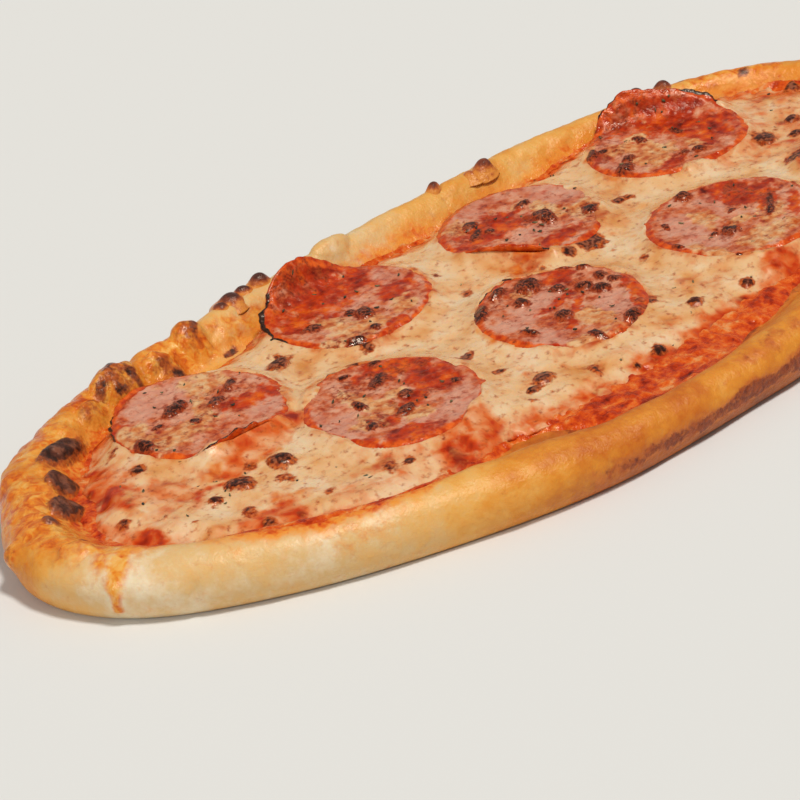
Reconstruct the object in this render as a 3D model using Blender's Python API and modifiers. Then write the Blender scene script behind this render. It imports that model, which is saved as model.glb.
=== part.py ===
"""Long oval pepperoni flatbread: a raised crust with sauce, melted cheese and eight slices.

Metres, +Z up. The bread lies flat on z = 0, long axis along X, its box centred on the origin.
Every layer follows the same few shape functions, so they nest with a small gap between them.
"""
import math
import random

import bmesh
import bpy
import numpy as np
from mathutils import Euler, Vector

MM = 0.001
GAP = 0.3 * MM

# Oval outline of the bread
HALF_LENGTH_LEFT = 177 * MM
HALF_LENGTH_RIGHT = 170 * MM
HALF_WIDTH = 79.5 * MM
POWER_LEFT = 2.08
POWER_RIGHT = 2.5
TIP_SWING_LEFT = 11 * MM
TIP_SWING_RIGHT = 4 * MM
OUTLINE_LUMP = 0.8 * MM
# Stations round the oval, 0 at the right tip and -90 at the near side: degrees and how far
# the outline stands out there from the plain oval, in mm
OUTLINE_STATIONS = (
    (-180, -1.0), (-160, 0), (0, 0), (15, 2.0), (30, 3.0), (50, 1.0), (70, 1.5), (90, 1.5),
    (112, 1.5), (124, 3.0), (136, 4.0), (148, 1.0), (158, -2.5), (170, -3.0),
)

# Rim of the crust, measured inward from its widest line
BASE_INSET = 5 * MM
BULGE_HEIGHT = 8.5 * MM
FLOOR_HEIGHT = 8.5 * MM
# At each station the height of the crest, its inset and the inset of the inner slope's foot
RIM_STATIONS = (
    (-180, 16.5, 11, 27), (-160, 17.0, 11, 27), (-146, 17.5, 10, 24), (-133, 17.0, 7.5, 21),
    (-117, 17.5, 11, 28), (-103, 16.0, 8, 20), (-90, 15.0, 7, 18), (-75, 17.0, 9, 24),
    (-58, 19.0, 11, 28), (-35, 18.0, 10, 25), (0, 17.0, 9, 22), (35, 16.5, 6.5, 17),
    (60, 17.0, 6, 17), (90, 17.5, 6, 17), (120, 17.0, 6, 17), (140, 16.5, 8, 20),
    (160, 16.5, 10, 24),
)

# Sauce and cheese, thickness and inset of the edge from the widest line
SAUCE_THICKNESS = 1.3 * MM
SAUCE_EDGE_THICKNESS = 0.7 * MM
SAUCE_EDGE = (
    (-180, 29), (-171, 24), (-163, 18), (-156, 21), (-148, 15), (-142, 13), (-135, 10),
    (-130, 13), (-125, 12), (-122, 14), (-119, 30), (-111, 31), (-106, 21), (-102, 16),
    (-96, 12), (-90, 11.5), (-82, 15), (-77, 22), (-72, 21), (-65, 27), (-45, 24), (-20, 20),
    (0, 17), (15, 14), (30, 11.5), (44, 14.5), (53, 13), (60, 15.5), (68, 18), (82, 17), (97, 16),
    (106, 17), (113, 19), (120, 20), (127, 18), (134, 19), (143, 20), (152, 23), (162, 27),
    (170, 29.5),
)
CHEESE_CLEARANCE = 0.6 * MM
CHEESE_THICKNESS = 2.1 * MM
CHEESE_EDGE_THICKNESS = 0.6 * MM
CHEESE_RELIEF = 0.75 * MM
CHEESE_EDGE = (
    (-180, 34), (-168, 32), (-155, 29.5), (-146, 28), (-138, 29), (-131, 26), (-126, 32),
    (-119, 38), (-112, 34), (-104, 32), (-90, 30.5), (-79, 32), (-66, 34), (-50, 31), (-25, 26),
    (0, 23), (15, 18), (30, 14), (42, 16), (52, 17), (60, 18.5), (75, 21), (90, 20.5), (105, 20),
    (113, 22), (120, 23), (132, 22), (142, 23), (152, 27), (163, 33),
)

# Slices of pepperoni: name, centre x and y, half-sizes along x and y, and rolls of the edge.
# A roll is the direction it faces in degrees, how far its fold line is from the centre and the
# radius that it bends to.
SLICE_THICKNESS = 1.7 * MM
SLICE_CLEARANCE = 0.5 * MM
SLICE_CUP = 0.7 * MM
SLICES = (
    ("pepperoni_01", -95.5, 34.5, 25.2, 25.6, ((-97, 17.5, 5.5),)),
    ("pepperoni_02", -29.0, 46.0, 26.0, 23.8, ((98, 10.5, 11.0),)),
    ("pepperoni_03", -60.5, -7.5, 25.6, 26.6, ((-60, 21.0, 14.0),)),
    ("pepperoni_04", 34.5, 39.0, 25.2, 24.5, ((215, 16.0, 6.0),)),
    ("pepperoni_05", 3.5, -9.0, 24.6, 25.4, ((100, 20.0, 14.0),)),
    ("pepperoni_06", 96.5, 41.0, 26.0, 23.0, ((52, 10.0, 11.0),)),
    ("pepperoni_07", 69.5, -13.0, 26.0, 25.6, ((-170, 21.0, 14.0),)),
    ("pepperoni_08", 123.5, -20.0, 24.0, 23.5, ((-50, 19.0, 14.0),)),
)

# Burnt blisters on the crust: x, y, half-sizes along x and y, and height above the surface
CRUST_BLISTERS = (
    (-131, 52, 8.0, 4.0, 1.8), (-143, 38, 3.8, 3.8, 1.8), (-150, 23, 5.0, 4.0, 1.8),
    (-98, 68, 8.0, 6.0, 3.0), (-82, 65, 6.0, 5.0, 2.4), (-68, 70, 5.0, 6.0, 2.6),
    (-51, 71, 4.5, 4.0, 4.0), (-40, 72, 3.5, 3.5, 4.5), (-9, 75, 7.0, 4.0, 1.8),
    (31, 71, 3.0, 3.0, 4.0), (53, 70, 3.5, 3.5, 4.5), (108, 66, 4.0, 3.5, 3.0),
    (119, 60, 3.0, 3.0, 3.5),
)
# Browned blisters of the cheese, in the same order
CHEESE_BLISTERS = (
    (-114, -3, 4.0, 4.0, 1.3), (-99.5, -4, 3.8, 4.2, 1.3), (-62, 38, 3.8, 3.6, 1.3),
    (-27, -32, 4.0, 3.2, 1.1), (38, 8, 3.6, 3.6, 1.4), (28, -37, 3.0, 3.0, 1.0),
    (114, 16, 4.2, 4.2, 1.3), (63, 25, 3.4, 3.4, 1.2), (-125, 27, 3.6, 3.4, 1.2),
    (-80, -34, 3.4, 3.0, 1.0), (2, 22, 3.2, 3.0, 1.0), (46, -40, 3.4, 3.0, 1.0),
)

HERB_SEED = 11
HERBS_ON_CHEESE = 26
HERBS_PER_SLICE = 2
HERB_LENGTH = (2.2 * MM, 4.2 * MM)
HERB_WIDTH = 1.3 * MM
HERB_THICKNESS = 0.9 * MM

AROUND = 80
AROUND_SLICE = 24
# Rows of the layers inward from their edge: first in mm, then shares of the way to the middle
ROWS_NEAR_EDGE = (0.0, 1.8, 3.8, 6.2, 9.2, 13.0)
ROWS_SHARED = (0.28, 0.6, 1.0)


def smooth(value):
    value = np.clip(value, 0.0, 1.0)
    return value * value * (3.0 - 2.0 * value)


def patches(x, y, size, seed):
    """Smooth uneven patches between -1 and 1, each about one size across."""
    u, v = np.asarray(x) / size, np.asarray(y) / size
    column, row = np.floor(u), np.floor(v)
    fu, fv = smooth(u - column), smooth(v - row)

    def corner(i, j):
        mixed = (column + i) * 127.1 + (row + j) * 311.7 + seed * 74.7
        value = np.sin(mixed) * 43758.5453
        return 2.0 * (value - np.floor(value)) - 1.0

    low = corner(0, 0) * (1 - fu) + corner(1, 0) * fu
    high = corner(0, 1) * (1 - fu) + corner(1, 1) * fu
    return low * (1 - fv) + high * fv


def stations(turn, table, column=1, spread=2.5):
    """A value read from stations round the oval, with its corners smoothed."""
    degrees = np.degrees(turn)
    keys = [row[0] for row in table]
    values = [row[column] for row in table]
    total = 0.0
    shifts = (-1.0, -0.5, 0.0, 0.5, 1.0)
    for shift in shifts:
        total = total + np.interp(degrees + shift * spread, keys, values, period=360)
    return total / len(shifts) * MM


def swing(x):
    """Sideways swing of the centre line towards the two tips."""
    left = TIP_SWING_LEFT * smooth((-x - 30 * MM) / (120 * MM))
    right = TIP_SWING_RIGHT * smooth((x - 20 * MM) / (100 * MM))
    return left + right


def outline(turn):
    """Semi-axis, radius in the unit oval and steepness of the inset at one turn round it."""
    cosine, sine = np.cos(turn), np.sin(turn)
    half_length = np.where(cosine < 0, HALF_LENGTH_LEFT, HALF_LENGTH_RIGHT)
    power = POWER_LEFT + (POWER_RIGHT - POWER_LEFT) * smooth(0.5 + 0.7 * cosine)
    radius = (np.abs(cosine) ** power + np.abs(sine) ** power) ** (-1.0 / power)
    lump = np.sin(5 * turn + 0.6) + 0.7 * np.sin(8 * turn + 2.1) + 0.5 * np.sin(13 * turn)
    steep = np.hypot(np.abs(radius * cosine) ** (power - 1) / half_length,
                     np.abs(radius * sine) ** (power - 1) / HALF_WIDTH)
    proud = stations(turn, OUTLINE_STATIONS, 1, 8.0) + OUTLINE_LUMP * lump / 2.2
    return half_length, radius * (1 + proud * steep), steep


def from_edge(turn, inset):
    """Plan position of a point at one turn round the oval, an inset from its widest line."""
    half_length, radius, steep = outline(turn)
    scale = radius * (1 - inset * steep)
    x = half_length * scale * np.cos(turn)
    return x, HALF_WIDTH * scale * np.sin(turn) + swing(x)


def edge_of(x, y):
    """Turn round the oval and inset from its widest line of a plan position."""
    half_length = np.where(x < 0, HALF_LENGTH_LEFT, HALF_LENGTH_RIGHT)
    u, v = x / half_length, (y - swing(x)) / HALF_WIDTH
    turn = np.arctan2(v, u)
    radius, steep = outline(turn)[1:]
    return turn, (1 - np.hypot(u, v) / radius) / steep


def rim(turn):
    """Height of the crest, its inset and the inset of the foot of the inner slope."""
    return [stations(turn, RIM_STATIONS, column, 6.0) for column in (1, 2, 3)]


def bread_top(x, y):
    """Top of the bread from the crest of the rim inward."""
    turn, inset = edge_of(x, y)
    height, crest, foot = rim(turn)
    rise = 1 - smooth((inset - crest) / (foot - crest))
    return FLOOR_HEIGHT + (height - FLOOR_HEIGHT) * rise


def sauce_top(x, y):
    turn, inset = edge_of(x, y)
    full = smooth((inset - stations(turn, SAUCE_EDGE)) / (7 * MM))
    thick = SAUCE_EDGE_THICKNESS + (SAUCE_THICKNESS - SAUCE_EDGE_THICKNESS) * full
    return bread_top(x, y) + GAP + thick


def in_slices(x, y):
    """How far a plan position lies under a slice, from 0 clear of them to 1 beneath one."""
    cover = 0.0
    for row in SLICES:
        away = np.hypot(x - row[1] * MM, y - row[2] * MM) - max(row[3], row[4]) * MM
        cover = np.maximum(cover, 1 - smooth((away - 2.5 * MM) / (5 * MM)))
    return cover


def bed(x, y):
    """Smooth top of the cheese that the slices lie on."""
    return bread_top(x, y) + GAP + SAUCE_THICKNESS + CHEESE_CLEARANCE + CHEESE_THICKNESS


def cheese_top(x, y):
    turn, inset = edge_of(x, y)
    full = smooth((inset - stations(turn, CHEESE_EDGE)) / (8 * MM))
    relief = patches(x, y, 11 * MM, 5) + 0.5 * patches(x, y, 6 * MM, 8)
    relief = CHEESE_RELIEF * relief * (1 - in_slices(x, y))
    thin = sauce_top(x, y) + CHEESE_CLEARANCE + CHEESE_EDGE_THICKNESS
    return thin + (bed(x, y) + relief - thin) * full


def material(name, colour, roughness):
    finish = bpy.data.materials.new(name)
    finish.use_nodes = True
    shader = finish.node_tree.nodes["Principled BSDF"]
    shader.inputs["Base Color"].default_value = (*colour, 1.0)
    shader.inputs["Roughness"].default_value = roughness
    shader.inputs["Metallic"].default_value = 0.0
    return finish


def add_object(name, shape, collection, finish):
    mesh = bpy.data.meshes.new(name)
    shape.normal_update()
    shape.to_mesh(mesh)
    shape.free()
    made = bpy.data.objects.new(name, mesh)
    collection.objects.link(made)
    if finish:
        mesh.materials.append(finish)
    mesh.shade_smooth()
    mesh.set_sharp_from_angle(angle=math.radians(35))
    return made


def turned(profile, steps):
    """Spin a closed profile of (radius, level) points round Z and close it at the axis."""
    shape = bmesh.new()
    points = [shape.verts.new((radius, 0.0, level)) for radius, level in profile]
    edges = [shape.edges.new(pair) for pair in zip(points[:-1], points[1:])]
    bmesh.ops.spin(shape, geom=points + edges, cent=(0, 0, 0), axis=(0, 0, 1),
                   angle=2 * math.pi, steps=steps, use_merge=True, use_duplicate=False)
    bmesh.ops.remove_doubles(shape, verts=shape.verts, dist=0.00001)
    return shape


def move_points(shape, formula):
    """Move every point of a turned shape: formula gets turn, radius and level as arrays."""
    shape.verts.ensure_lookup_table()
    start = np.array([point.co[:] for point in shape.verts])
    turn = np.arctan2(start[:, 1], start[:, 0])
    radius = np.hypot(start[:, 0], start[:, 1])
    for point, x, y, z in zip(shape.verts, *formula(turn, radius, start[:, 2])):
        point.co = (x, y, z)
    bmesh.ops.recalc_face_normals(shape, faces=shape.faces)


def rim_section():
    """Section of the rim outside the crest: below the bulge as sizes, above it as shares."""
    below = [(BASE_INSET * (1 - math.sin(a)), BULGE_HEIGHT * (1 - math.cos(a)))
             for a in np.radians((0, 32, 60, 90))]
    above = [(1 - math.cos(a), math.sin(a)) for a in np.radians((24, 46, 68, 90))]
    return below, above


def make_crust(collection):
    """Turned section: flat base, bulging side, crest, inner slope and floor."""
    below, above = rim_section()
    slope = (0.12, 0.25, 0.4, 0.57, 0.72, 0.86, 1.0)
    floor = (0.4, 1.0)
    rows = len(below) + len(above) + len(slope) + len(floor)
    # Level counts the rows of the section from the base, radius only keeps them apart
    profile = [(0.0, -1.0)] + [(1.0 - 0.5 * i / rows, float(i)) for i in range(rows - 1)]
    profile.append((0.0, rows - 1.0))
    shape = turned(profile, AROUND)

    def place(turn, radius, level):
        crest_height, crest, foot = rim(turn)
        step = np.rint(level).astype(int)
        inset = np.zeros_like(turn)
        height = np.full_like(turn, np.nan)
        for i, (away, z) in enumerate(below):
            inset[step == i] = away
            height[step == i] = z
        for i, (away, share) in enumerate(above):
            row = step == len(below) + i
            inset[row] = (crest * away)[row]
            height[row] = (BULGE_HEIGHT + (crest_height - BULGE_HEIGHT) * share)[row]
        first = len(below) + len(above)
        for i, share in enumerate(slope):
            row = step == first + i
            inset[row] = (crest + (foot - crest) * share)[row]
        steep = outline(turn)[2]
        for i, share in enumerate(floor):
            row = step == first + len(slope) + i
            inset[row] = (foot + (1 / steep - foot) * share)[row]
        x, y = from_edge(turn, inset)
        base = step < 0
        x[base], y[base], height[base] = 0.0, 0.0, 0.0
        inner = np.isnan(height)
        height[inner] = bread_top(x, y)[inner]
        return x, y, height

    move_points(shape, place)
    crust = add_object("crust", shape, collection, material("baked_dough", (0.80, 0.55, 0.27), 0.5))
    fuse(crust, [blister(row, crust_height) for row in CRUST_BLISTERS])
    return crust


def crust_height(x, y):
    """Top of the crust anywhere, outside the crest too."""
    turn, inset = edge_of(x, y)
    crest_height, crest = rim(turn)[:2]
    drop = np.sqrt(np.clip(1 - (1 - inset / crest) ** 2, 0, 1))
    outside = BULGE_HEIGHT + (crest_height - BULGE_HEIGHT) * drop
    return np.where(inset < crest, outside, bread_top(x, y))


def layer(name, edge_table, under, over, collection, finish):
    """A layer between two height functions, out to its own uneven edge."""
    rows = len(ROWS_NEAR_EDGE) + len(ROWS_SHARED) - 1
    radii = [1.0 - 0.5 * row / rows for row in range(rows)]
    profile = [(0.0, 0.0)] + [(radius, 0.0) for radius in reversed(radii)]
    profile += [(radius, 1.0) for radius in radii] + [(0.0, 1.0)]
    shape = turned(profile, AROUND)

    def place(turn, radius, level):
        row = np.where(radius < 0.1, rows, np.rint((1.0 - radius) * 2 * rows)).astype(int)
        start = np.array(ROWS_NEAR_EDGE + (ROWS_NEAR_EDGE[-1],) * len(ROWS_SHARED))[row] * MM
        share = np.array((0.0,) * len(ROWS_NEAR_EDGE) + ROWS_SHARED)[row]
        inset = stations(turn, edge_table) + start
        inset = inset + (1 / outline(turn)[2] - inset) * share
        x, y = from_edge(turn, inset)
        x, y = np.where(row == rows, 0.0, x), np.where(row == rows, 0.0, y)
        return x, y, np.where(level > 0.5, over(x, y), under(x, y))

    move_points(shape, place)
    return add_object(name, shape, collection, finish)


def blister(row, surface):
    """A low dome half sunk in the surface."""
    x, y, half_x, half_y, height = [value * MM for value in row]
    shape = bmesh.new()
    bmesh.ops.create_uvsphere(shape, u_segments=8, v_segments=5, radius=1.0)
    base = float(surface(np.array([x]), np.array([y]))[0])
    for point in shape.verts:
        point.co = Vector((x + point.co.x * half_x, y + point.co.y * half_y,
                           base + point.co.z * height))
    return shape


def herb(x, y, z, rng):
    """A small crumpled leaf flake, its lower half sunk in what it lies on."""
    shape = bmesh.new()
    bmesh.ops.create_cube(shape, size=1.0)
    bmesh.ops.subdivide_edges(shape, edges=[e for e in shape.edges if abs(
        (e.verts[0].co - e.verts[1].co).x) > 0.5], cuts=1)
    size = Vector((rng.uniform(*HERB_LENGTH), HERB_WIDTH * rng.uniform(0.7, 1.1), HERB_THICKNESS))
    turn = Euler((rng.uniform(-0.25, 0.25), rng.uniform(-0.2, 0.2), rng.uniform(0, math.pi)))
    for point in shape.verts:
        end = abs(point.co.x) * 2
        leaf = Vector((point.co.x * size.x, point.co.y * size.y * (1.15 - 0.55 * end),
                       point.co.z * size.z + 0.25 * MM * end))
        leaf.rotate(turn)
        point.co = leaf + Vector((x, y, z))
    return shape


def keep_largest(mesh):
    """Drop loose scraps that a union leaves beside the main body."""
    shape = bmesh.new()
    shape.from_mesh(mesh)
    unseen, bodies = set(shape.verts), []
    while unseen:
        body, front = set(), [unseen.pop()]
        while front:
            point = front.pop()
            body.add(point)
            for edge in point.link_edges:
                other = edge.other_vert(point)
                if other in unseen:
                    unseen.discard(other)
                    front.append(other)
        bodies.append(body)
    bodies.sort(key=len)
    loose = [point for body in bodies[:-1] for point in body]
    bmesh.ops.delete(shape, geom=loose, context="VERTS")
    shape.to_mesh(mesh)
    shape.free()


def fuse(target, shapes):
    """Join small closed shapes to a piece by one union."""
    holder = bpy.data.collections.new(target.name + "_cutters")
    bpy.context.scene.collection.children.link(holder)
    for number, shape in enumerate(shapes):
        piece = add_object(f"{target.name}_small_{number:02d}", shape, holder, None)
        piece.hide_render = True
        piece.display_type = "WIRE"
    union = target.modifiers.new("union", "BOOLEAN")
    union.operation = "UNION"
    union.operand_type = "COLLECTION"
    union.collection = holder
    union.solver = "EXACT"
    joined = bpy.data.meshes.new_from_object(target.evaluated_get(bpy.context.evaluated_depsgraph_get()))
    target.modifiers.clear()
    keep_largest(joined)
    target.data = joined
    for piece in list(holder.objects):
        bpy.data.objects.remove(piece, do_unlink=True)
    bpy.data.collections.remove(holder)


def rolled(u, v, rolls):
    """Bend a flat disc up along fold lines. Gives the bent plan position and the lift."""
    lift = np.zeros_like(u)
    for facing, fold, bend in rolls:
        ahead = Vector((math.cos(math.radians(facing)), math.sin(math.radians(facing))))
        past = np.clip(u * ahead.x + v * ahead.y - fold * MM, 0, None)
        angle = past / (bend * MM)
        shift = bend * MM * np.sin(angle) - past
        u, v = u + shift * ahead.x, v + shift * ahead.y
        lift = lift + bend * MM * (1 - np.cos(angle))
    return u, v, lift


def slice_under(row):
    """Lower face of a slice as a function of turn and share of its radius."""
    x, y, half_x, half_y, rolls = row[1:]
    phase = x * 0.37

    def place(turn, share):
        reach = share * MM * (1 + 0.02 * np.sin(3 * turn + phase) + 0.012 * np.sin(5 * turn))
        u, v = reach * half_x * np.cos(turn), reach * half_y * np.sin(turn)
        u, v, lift = rolled(u, v, rolls)
        px, py = x * MM + u, y * MM + v
        lift = lift + SLICE_CUP * share ** 4
        return px, py, bed(px, py) + SLICE_CLEARANCE + lift

    return place


def make_slice(row, collection, finish, rng):
    """A thin disc that drapes over the cheese, with parts of its edge rolled up."""
    shares = (1.0, 0.87, 0.7, 0.45)
    shape = turned([(share, 0.0) for share in shares] + [(0.0, 0.0)], AROUND_SLICE)
    under = slice_under(row)
    move_points(shape, lambda turn, radius, level: under(turn, radius))
    if sum(face.normal.z for face in shape.faces) < 0:
        bmesh.ops.reverse_faces(shape, faces=shape.faces)
    made = add_object(row[0], shape, collection, finish)
    solid = made.modifiers.new("thickness", "SOLIDIFY")
    solid.thickness = SLICE_THICKNESS
    solid.offset = 1.0
    flakes = []
    for _ in range(HERBS_PER_SLICE):
        turn, share = rng.uniform(0, 2 * math.pi), rng.uniform(0.1, 0.55)
        x, y, z = under(np.array([turn]), np.array([share]))
        flakes.append(herb(x[0], y[0], z[0] + SLICE_THICKNESS, rng))
    fuse(made, flakes)
    return made


def cheese_herbs(rng):
    """Flakes on the open cheese, kept clear of the slices and of its edge."""
    shapes = []
    while len(shapes) < HERBS_ON_CHEESE:
        x = rng.uniform(-HALF_LENGTH_LEFT, HALF_LENGTH_RIGHT)
        y = rng.uniform(-HALF_WIDTH, HALF_WIDTH)
        place = np.array([x]), np.array([y])
        turn, inset = edge_of(*place)
        reach = min(math.hypot(x - row[1] * MM, y - row[2] * MM) - max(row[3], row[4]) * MM
                    for row in SLICES)
        near_blister = min(math.hypot(x - row[0] * MM, y - row[1] * MM) - row[2] * MM
                           for row in CHEESE_BLISTERS)
        if inset[0] < stations(turn, CHEESE_EDGE)[0] + 5 * MM or reach < 4 * MM:
            continue
        if near_blister < 3 * MM:
            continue
        shapes.append(herb(x, y, float(cheese_top(*place)[0]), rng))
    return shapes


def centre_on_origin(objects):
    """Shift all meshes together so that the whole bread's box is centred over the origin."""
    corners = np.array([point.co[:] for made in objects for point in made.data.vertices])
    middle = (corners.min(axis=0) + corners.max(axis=0)) / 2
    for made in objects:
        for point in made.data.vertices:
            point.co.x -= middle[0]
            point.co.y -= middle[1]


def main():
    for old in list(bpy.data.objects):
        bpy.data.objects.remove(old, do_unlink=True)
    bread = bpy.data.collections.new("pepperoni_flatbread")
    bpy.context.scene.collection.children.link(bread)
    rng = random.Random(HERB_SEED)

    crust = make_crust(bread)
    sauce = layer("sauce", SAUCE_EDGE, lambda x, y: bread_top(x, y) + GAP, sauce_top,
                  bread, material("tomato_sauce", (0.55, 0.06, 0.02), 0.35))
    cheese = layer("cheese", CHEESE_EDGE, lambda x, y: sauce_top(x, y) + CHEESE_CLEARANCE, cheese_top,
                   bread, material("melted_cheese", (0.85, 0.66, 0.38), 0.35))
    fuse(cheese, [blister(row, cheese_top) for row in CHEESE_BLISTERS] + cheese_herbs(rng))
    meat = material("pepperoni", (0.60, 0.13, 0.06), 0.35)
    slices = [make_slice(row, bread, meat, rng) for row in SLICES]
    centre_on_origin([crust, sauce, cheese] + slices)


main()
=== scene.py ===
import math
import random

import bpy
import numpy as np
from mathutils import Matrix, Vector


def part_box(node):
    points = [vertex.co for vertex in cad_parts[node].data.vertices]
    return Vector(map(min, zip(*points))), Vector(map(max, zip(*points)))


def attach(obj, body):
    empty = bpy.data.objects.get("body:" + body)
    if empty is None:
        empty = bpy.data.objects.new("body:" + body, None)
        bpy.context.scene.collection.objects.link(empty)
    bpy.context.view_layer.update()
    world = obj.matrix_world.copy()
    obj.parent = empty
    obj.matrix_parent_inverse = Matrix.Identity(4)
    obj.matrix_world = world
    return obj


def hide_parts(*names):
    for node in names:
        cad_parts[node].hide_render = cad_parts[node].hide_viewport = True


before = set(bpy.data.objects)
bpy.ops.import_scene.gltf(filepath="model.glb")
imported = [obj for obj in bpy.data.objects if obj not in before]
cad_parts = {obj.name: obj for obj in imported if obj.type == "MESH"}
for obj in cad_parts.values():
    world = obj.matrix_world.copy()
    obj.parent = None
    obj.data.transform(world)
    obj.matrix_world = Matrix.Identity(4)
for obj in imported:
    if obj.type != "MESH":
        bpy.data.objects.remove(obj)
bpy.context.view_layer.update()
mm = 0.001
print("flatbread: frame loaded,", len(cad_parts), "nodes")

# Shape of the bread in millimetres, the same driving sizes as the solids
bread = {
    "halfLengthLeft": 177, "halfLengthRight": 170, "halfWidth": 79.5,
    "powerLeft": 2.08, "powerRight": 2.5, "swingLeft": 11, "swingRight": 4, "lump": 0.8,
    "baseInset": 5, "bulge": 8.5, "floor": 8.5, "middleLine": 95,
    # degrees round the oval and how far the outline stands out there
    "outline": (
        (-180, -1), (-160, 0), (0, 0), (15, 2), (30, 3), (50, 1), (70, 1.5), (90, 1.5),
        (112, 1.5), (124, 3), (136, 4), (148, 1), (158, -2.5), (170, -3),
    ),
    # degrees, height of the crest, its inset and the inset of the inner slope's foot
    "rim": (
        (-180, 16.5, 11, 27), (-160, 17, 11, 27), (-146, 17.5, 10, 24), (-133, 17, 7.5, 21),
        (-117, 17.5, 11, 28), (-103, 16, 8, 20), (-90, 15, 7, 18), (-75, 17, 9, 24),
        (-58, 19, 11, 28), (-35, 18, 10, 25), (0, 17, 9, 22), (35, 16.5, 6.5, 17),
        (60, 17, 6, 17), (90, 17.5, 6, 17), (120, 17, 6, 17), (140, 16.5, 8, 20),
        (160, 16.5, 10, 24),
    ),
}
sauce = {
    "gap": 0.3, "thickness": 1.3, "edgeThickness": 0.7,
    "edge": (
        (-180, 29), (-171, 24), (-163, 18), (-156, 21), (-148, 15), (-142, 13), (-135, 10),
        (-130, 13), (-125, 12), (-122, 14), (-119, 30), (-111, 31), (-106, 21), (-102, 16),
        (-96, 12), (-90, 11.5), (-82, 15), (-77, 22), (-72, 21), (-65, 27), (-45, 24),
        (-20, 20), (0, 17), (15, 14), (30, 11.5), (44, 14.5), (53, 13), (60, 15.5), (68, 18),
        (82, 17), (97, 16), (106, 17), (113, 19), (120, 20), (127, 18), (134, 19), (143, 20),
        (152, 23), (162, 27), (170, 29.5),
    ),
    # how far the melted sauce runs out over the bread beyond the solid's edge
    "reach": (
        (-180, 6), (-165, 4.5), (-150, 3), (-140, 3.5), (-122, 3.5), (-114, 1), (-105, 0), (-60, 0),
        (0, 1), (40, 1.5), (62, 4), (100, 4), (118, 2.5), (130, 2), (148, 4), (160, 7), (170, 7.5),
    ),
}
cheese = {
    "clearance": 0.6, "thickness": 2.1, "edgeThickness": 0.6, "relief": 0.75,
    "edge": (
        (-180, 34), (-168, 32), (-155, 29.5), (-146, 28), (-138, 29), (-131, 26), (-126, 32),
        (-119, 38), (-112, 34), (-104, 32), (-90, 30.5), (-79, 32), (-66, 34), (-50, 31),
        (-25, 26), (0, 23), (15, 18), (30, 14), (42, 16), (52, 17), (60, 18.5), (75, 21),
        (90, 20.5), (105, 20), (113, 22), (120, 23), (132, 22), (142, 23), (152, 27), (163, 33),
    ),
    # how far the thin film of melted cheese runs out beyond the solid's edge
    "reach": (
        (-180, 7.5), (-168, 8), (-156, 10), (-130, 10), (-122, 8), (-114, 4), (-105, 1.5), (-60, 0.5),
        (0, 1), (40, 1.5), (62, 4), (100, 4.5), (118, 2.5), (130, 3), (150, 5.5), (162, 8), (172, 8),
    ),
}
# Slices: node, centre, half sizes, and the rolled-up parts of the edge as
# (direction in degrees, distance of the fold from the centre, bend radius)
slices = (
    ("pepperoni_01", -95.5, 34.5, 25.2, 25.6, ((-97, 17.5, 5.5),)),
    ("pepperoni_02", -29, 46, 26, 23.8, ((98, 10.5, 11),)),
    ("pepperoni_03", -60.5, -7.5, 25.6, 26.6, ((-60, 21, 14),)),
    ("pepperoni_04", 34.5, 39, 25.2, 24.5, ((215, 16, 6),)),
    ("pepperoni_05", 3.5, -9, 24.6, 25.4, ((100, 20, 14),)),
    ("pepperoni_06", 96.5, 41, 26, 23, ((52, 10, 11),)),
    ("pepperoni_07", 69.5, -13, 26, 25.6, ((-170, 21, 14),)),
    ("pepperoni_08", 123.5, -20, 24, 23.5, ((-50, 19, 14),)),
)
sliceForm = {"thickness": 1.7, "clearance": 0.5, "cup": 0.7}


def smooth(value, low=0.0, high=1.0):  # 0 below low, 1 above high, a soft step between
    share = np.clip((value - low) / (high - low), 0.0, 1.0)
    return share * share * (3.0 - 2.0 * share)


def hashed(i, j, k, seed):  # the same number from 0 to 1 each time for a cell
    value = np.sin(i * 127.1 + j * 311.7 + k * 74.7 + seed * 53.3) * 43758.5453
    return value - np.floor(value)


def waves(p, size, seed):  # gradient noise from about -1 to 1, with waves one size across
    q = np.asarray(p, float) / size
    cell = np.floor(q)
    inside = q - cell
    fade = inside ** 3 * (inside * (inside * 6 - 15) + 10)
    total = 0.0
    for corner in np.ndindex(2, 2, 2):
        i, j, k = (cell[..., n] + corner[n] for n in range(3))
        dot = sum((2 * hashed(i, j, k, seed + 9 * n) - 1) * (inside[..., n] - corner[n]) for n in range(3))
        a, b, c = (fade[..., n] if corner[n] else 1 - fade[..., n] for n in range(3))
        total = total + dot * (a * b * c)
    return total * 1.7


def crumble(p, size, seed, octaves=3, keep=0.5):  # several sizes of waves added up
    total, weight, whole = 0.0, 1.0, 0.0
    for octave in range(octaves):
        total = total + weight * waves(p, size * 0.5 ** octave, seed + octave)
        whole += weight
        weight *= keep
    return total / whole * 1.4


def bubbles(x, y, size, seed, fill):  # rounded bumps from 0 to 1, one in each cell that is filled
    best = np.zeros_like(x)
    for di, dj in np.ndindex(3, 3):
        i, j = np.floor(x / size) + di - 1, np.floor(y / size) + dj - 1
        cx, cy = ((at + 0.15 + 0.7 * hashed(i, j, way, seed)) * size for at, way in ((i, 1), (j, 2)))
        radius = size * (0.25 + 0.35 * hashed(i, j, 3, seed))
        bump = np.clip(1 - ((x - cx) ** 2 + (y - cy) ** 2) / radius ** 2, 0, 1)
        best = np.maximum(best, bump * (hashed(i, j, 4, seed) < fill))
    return best


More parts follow.
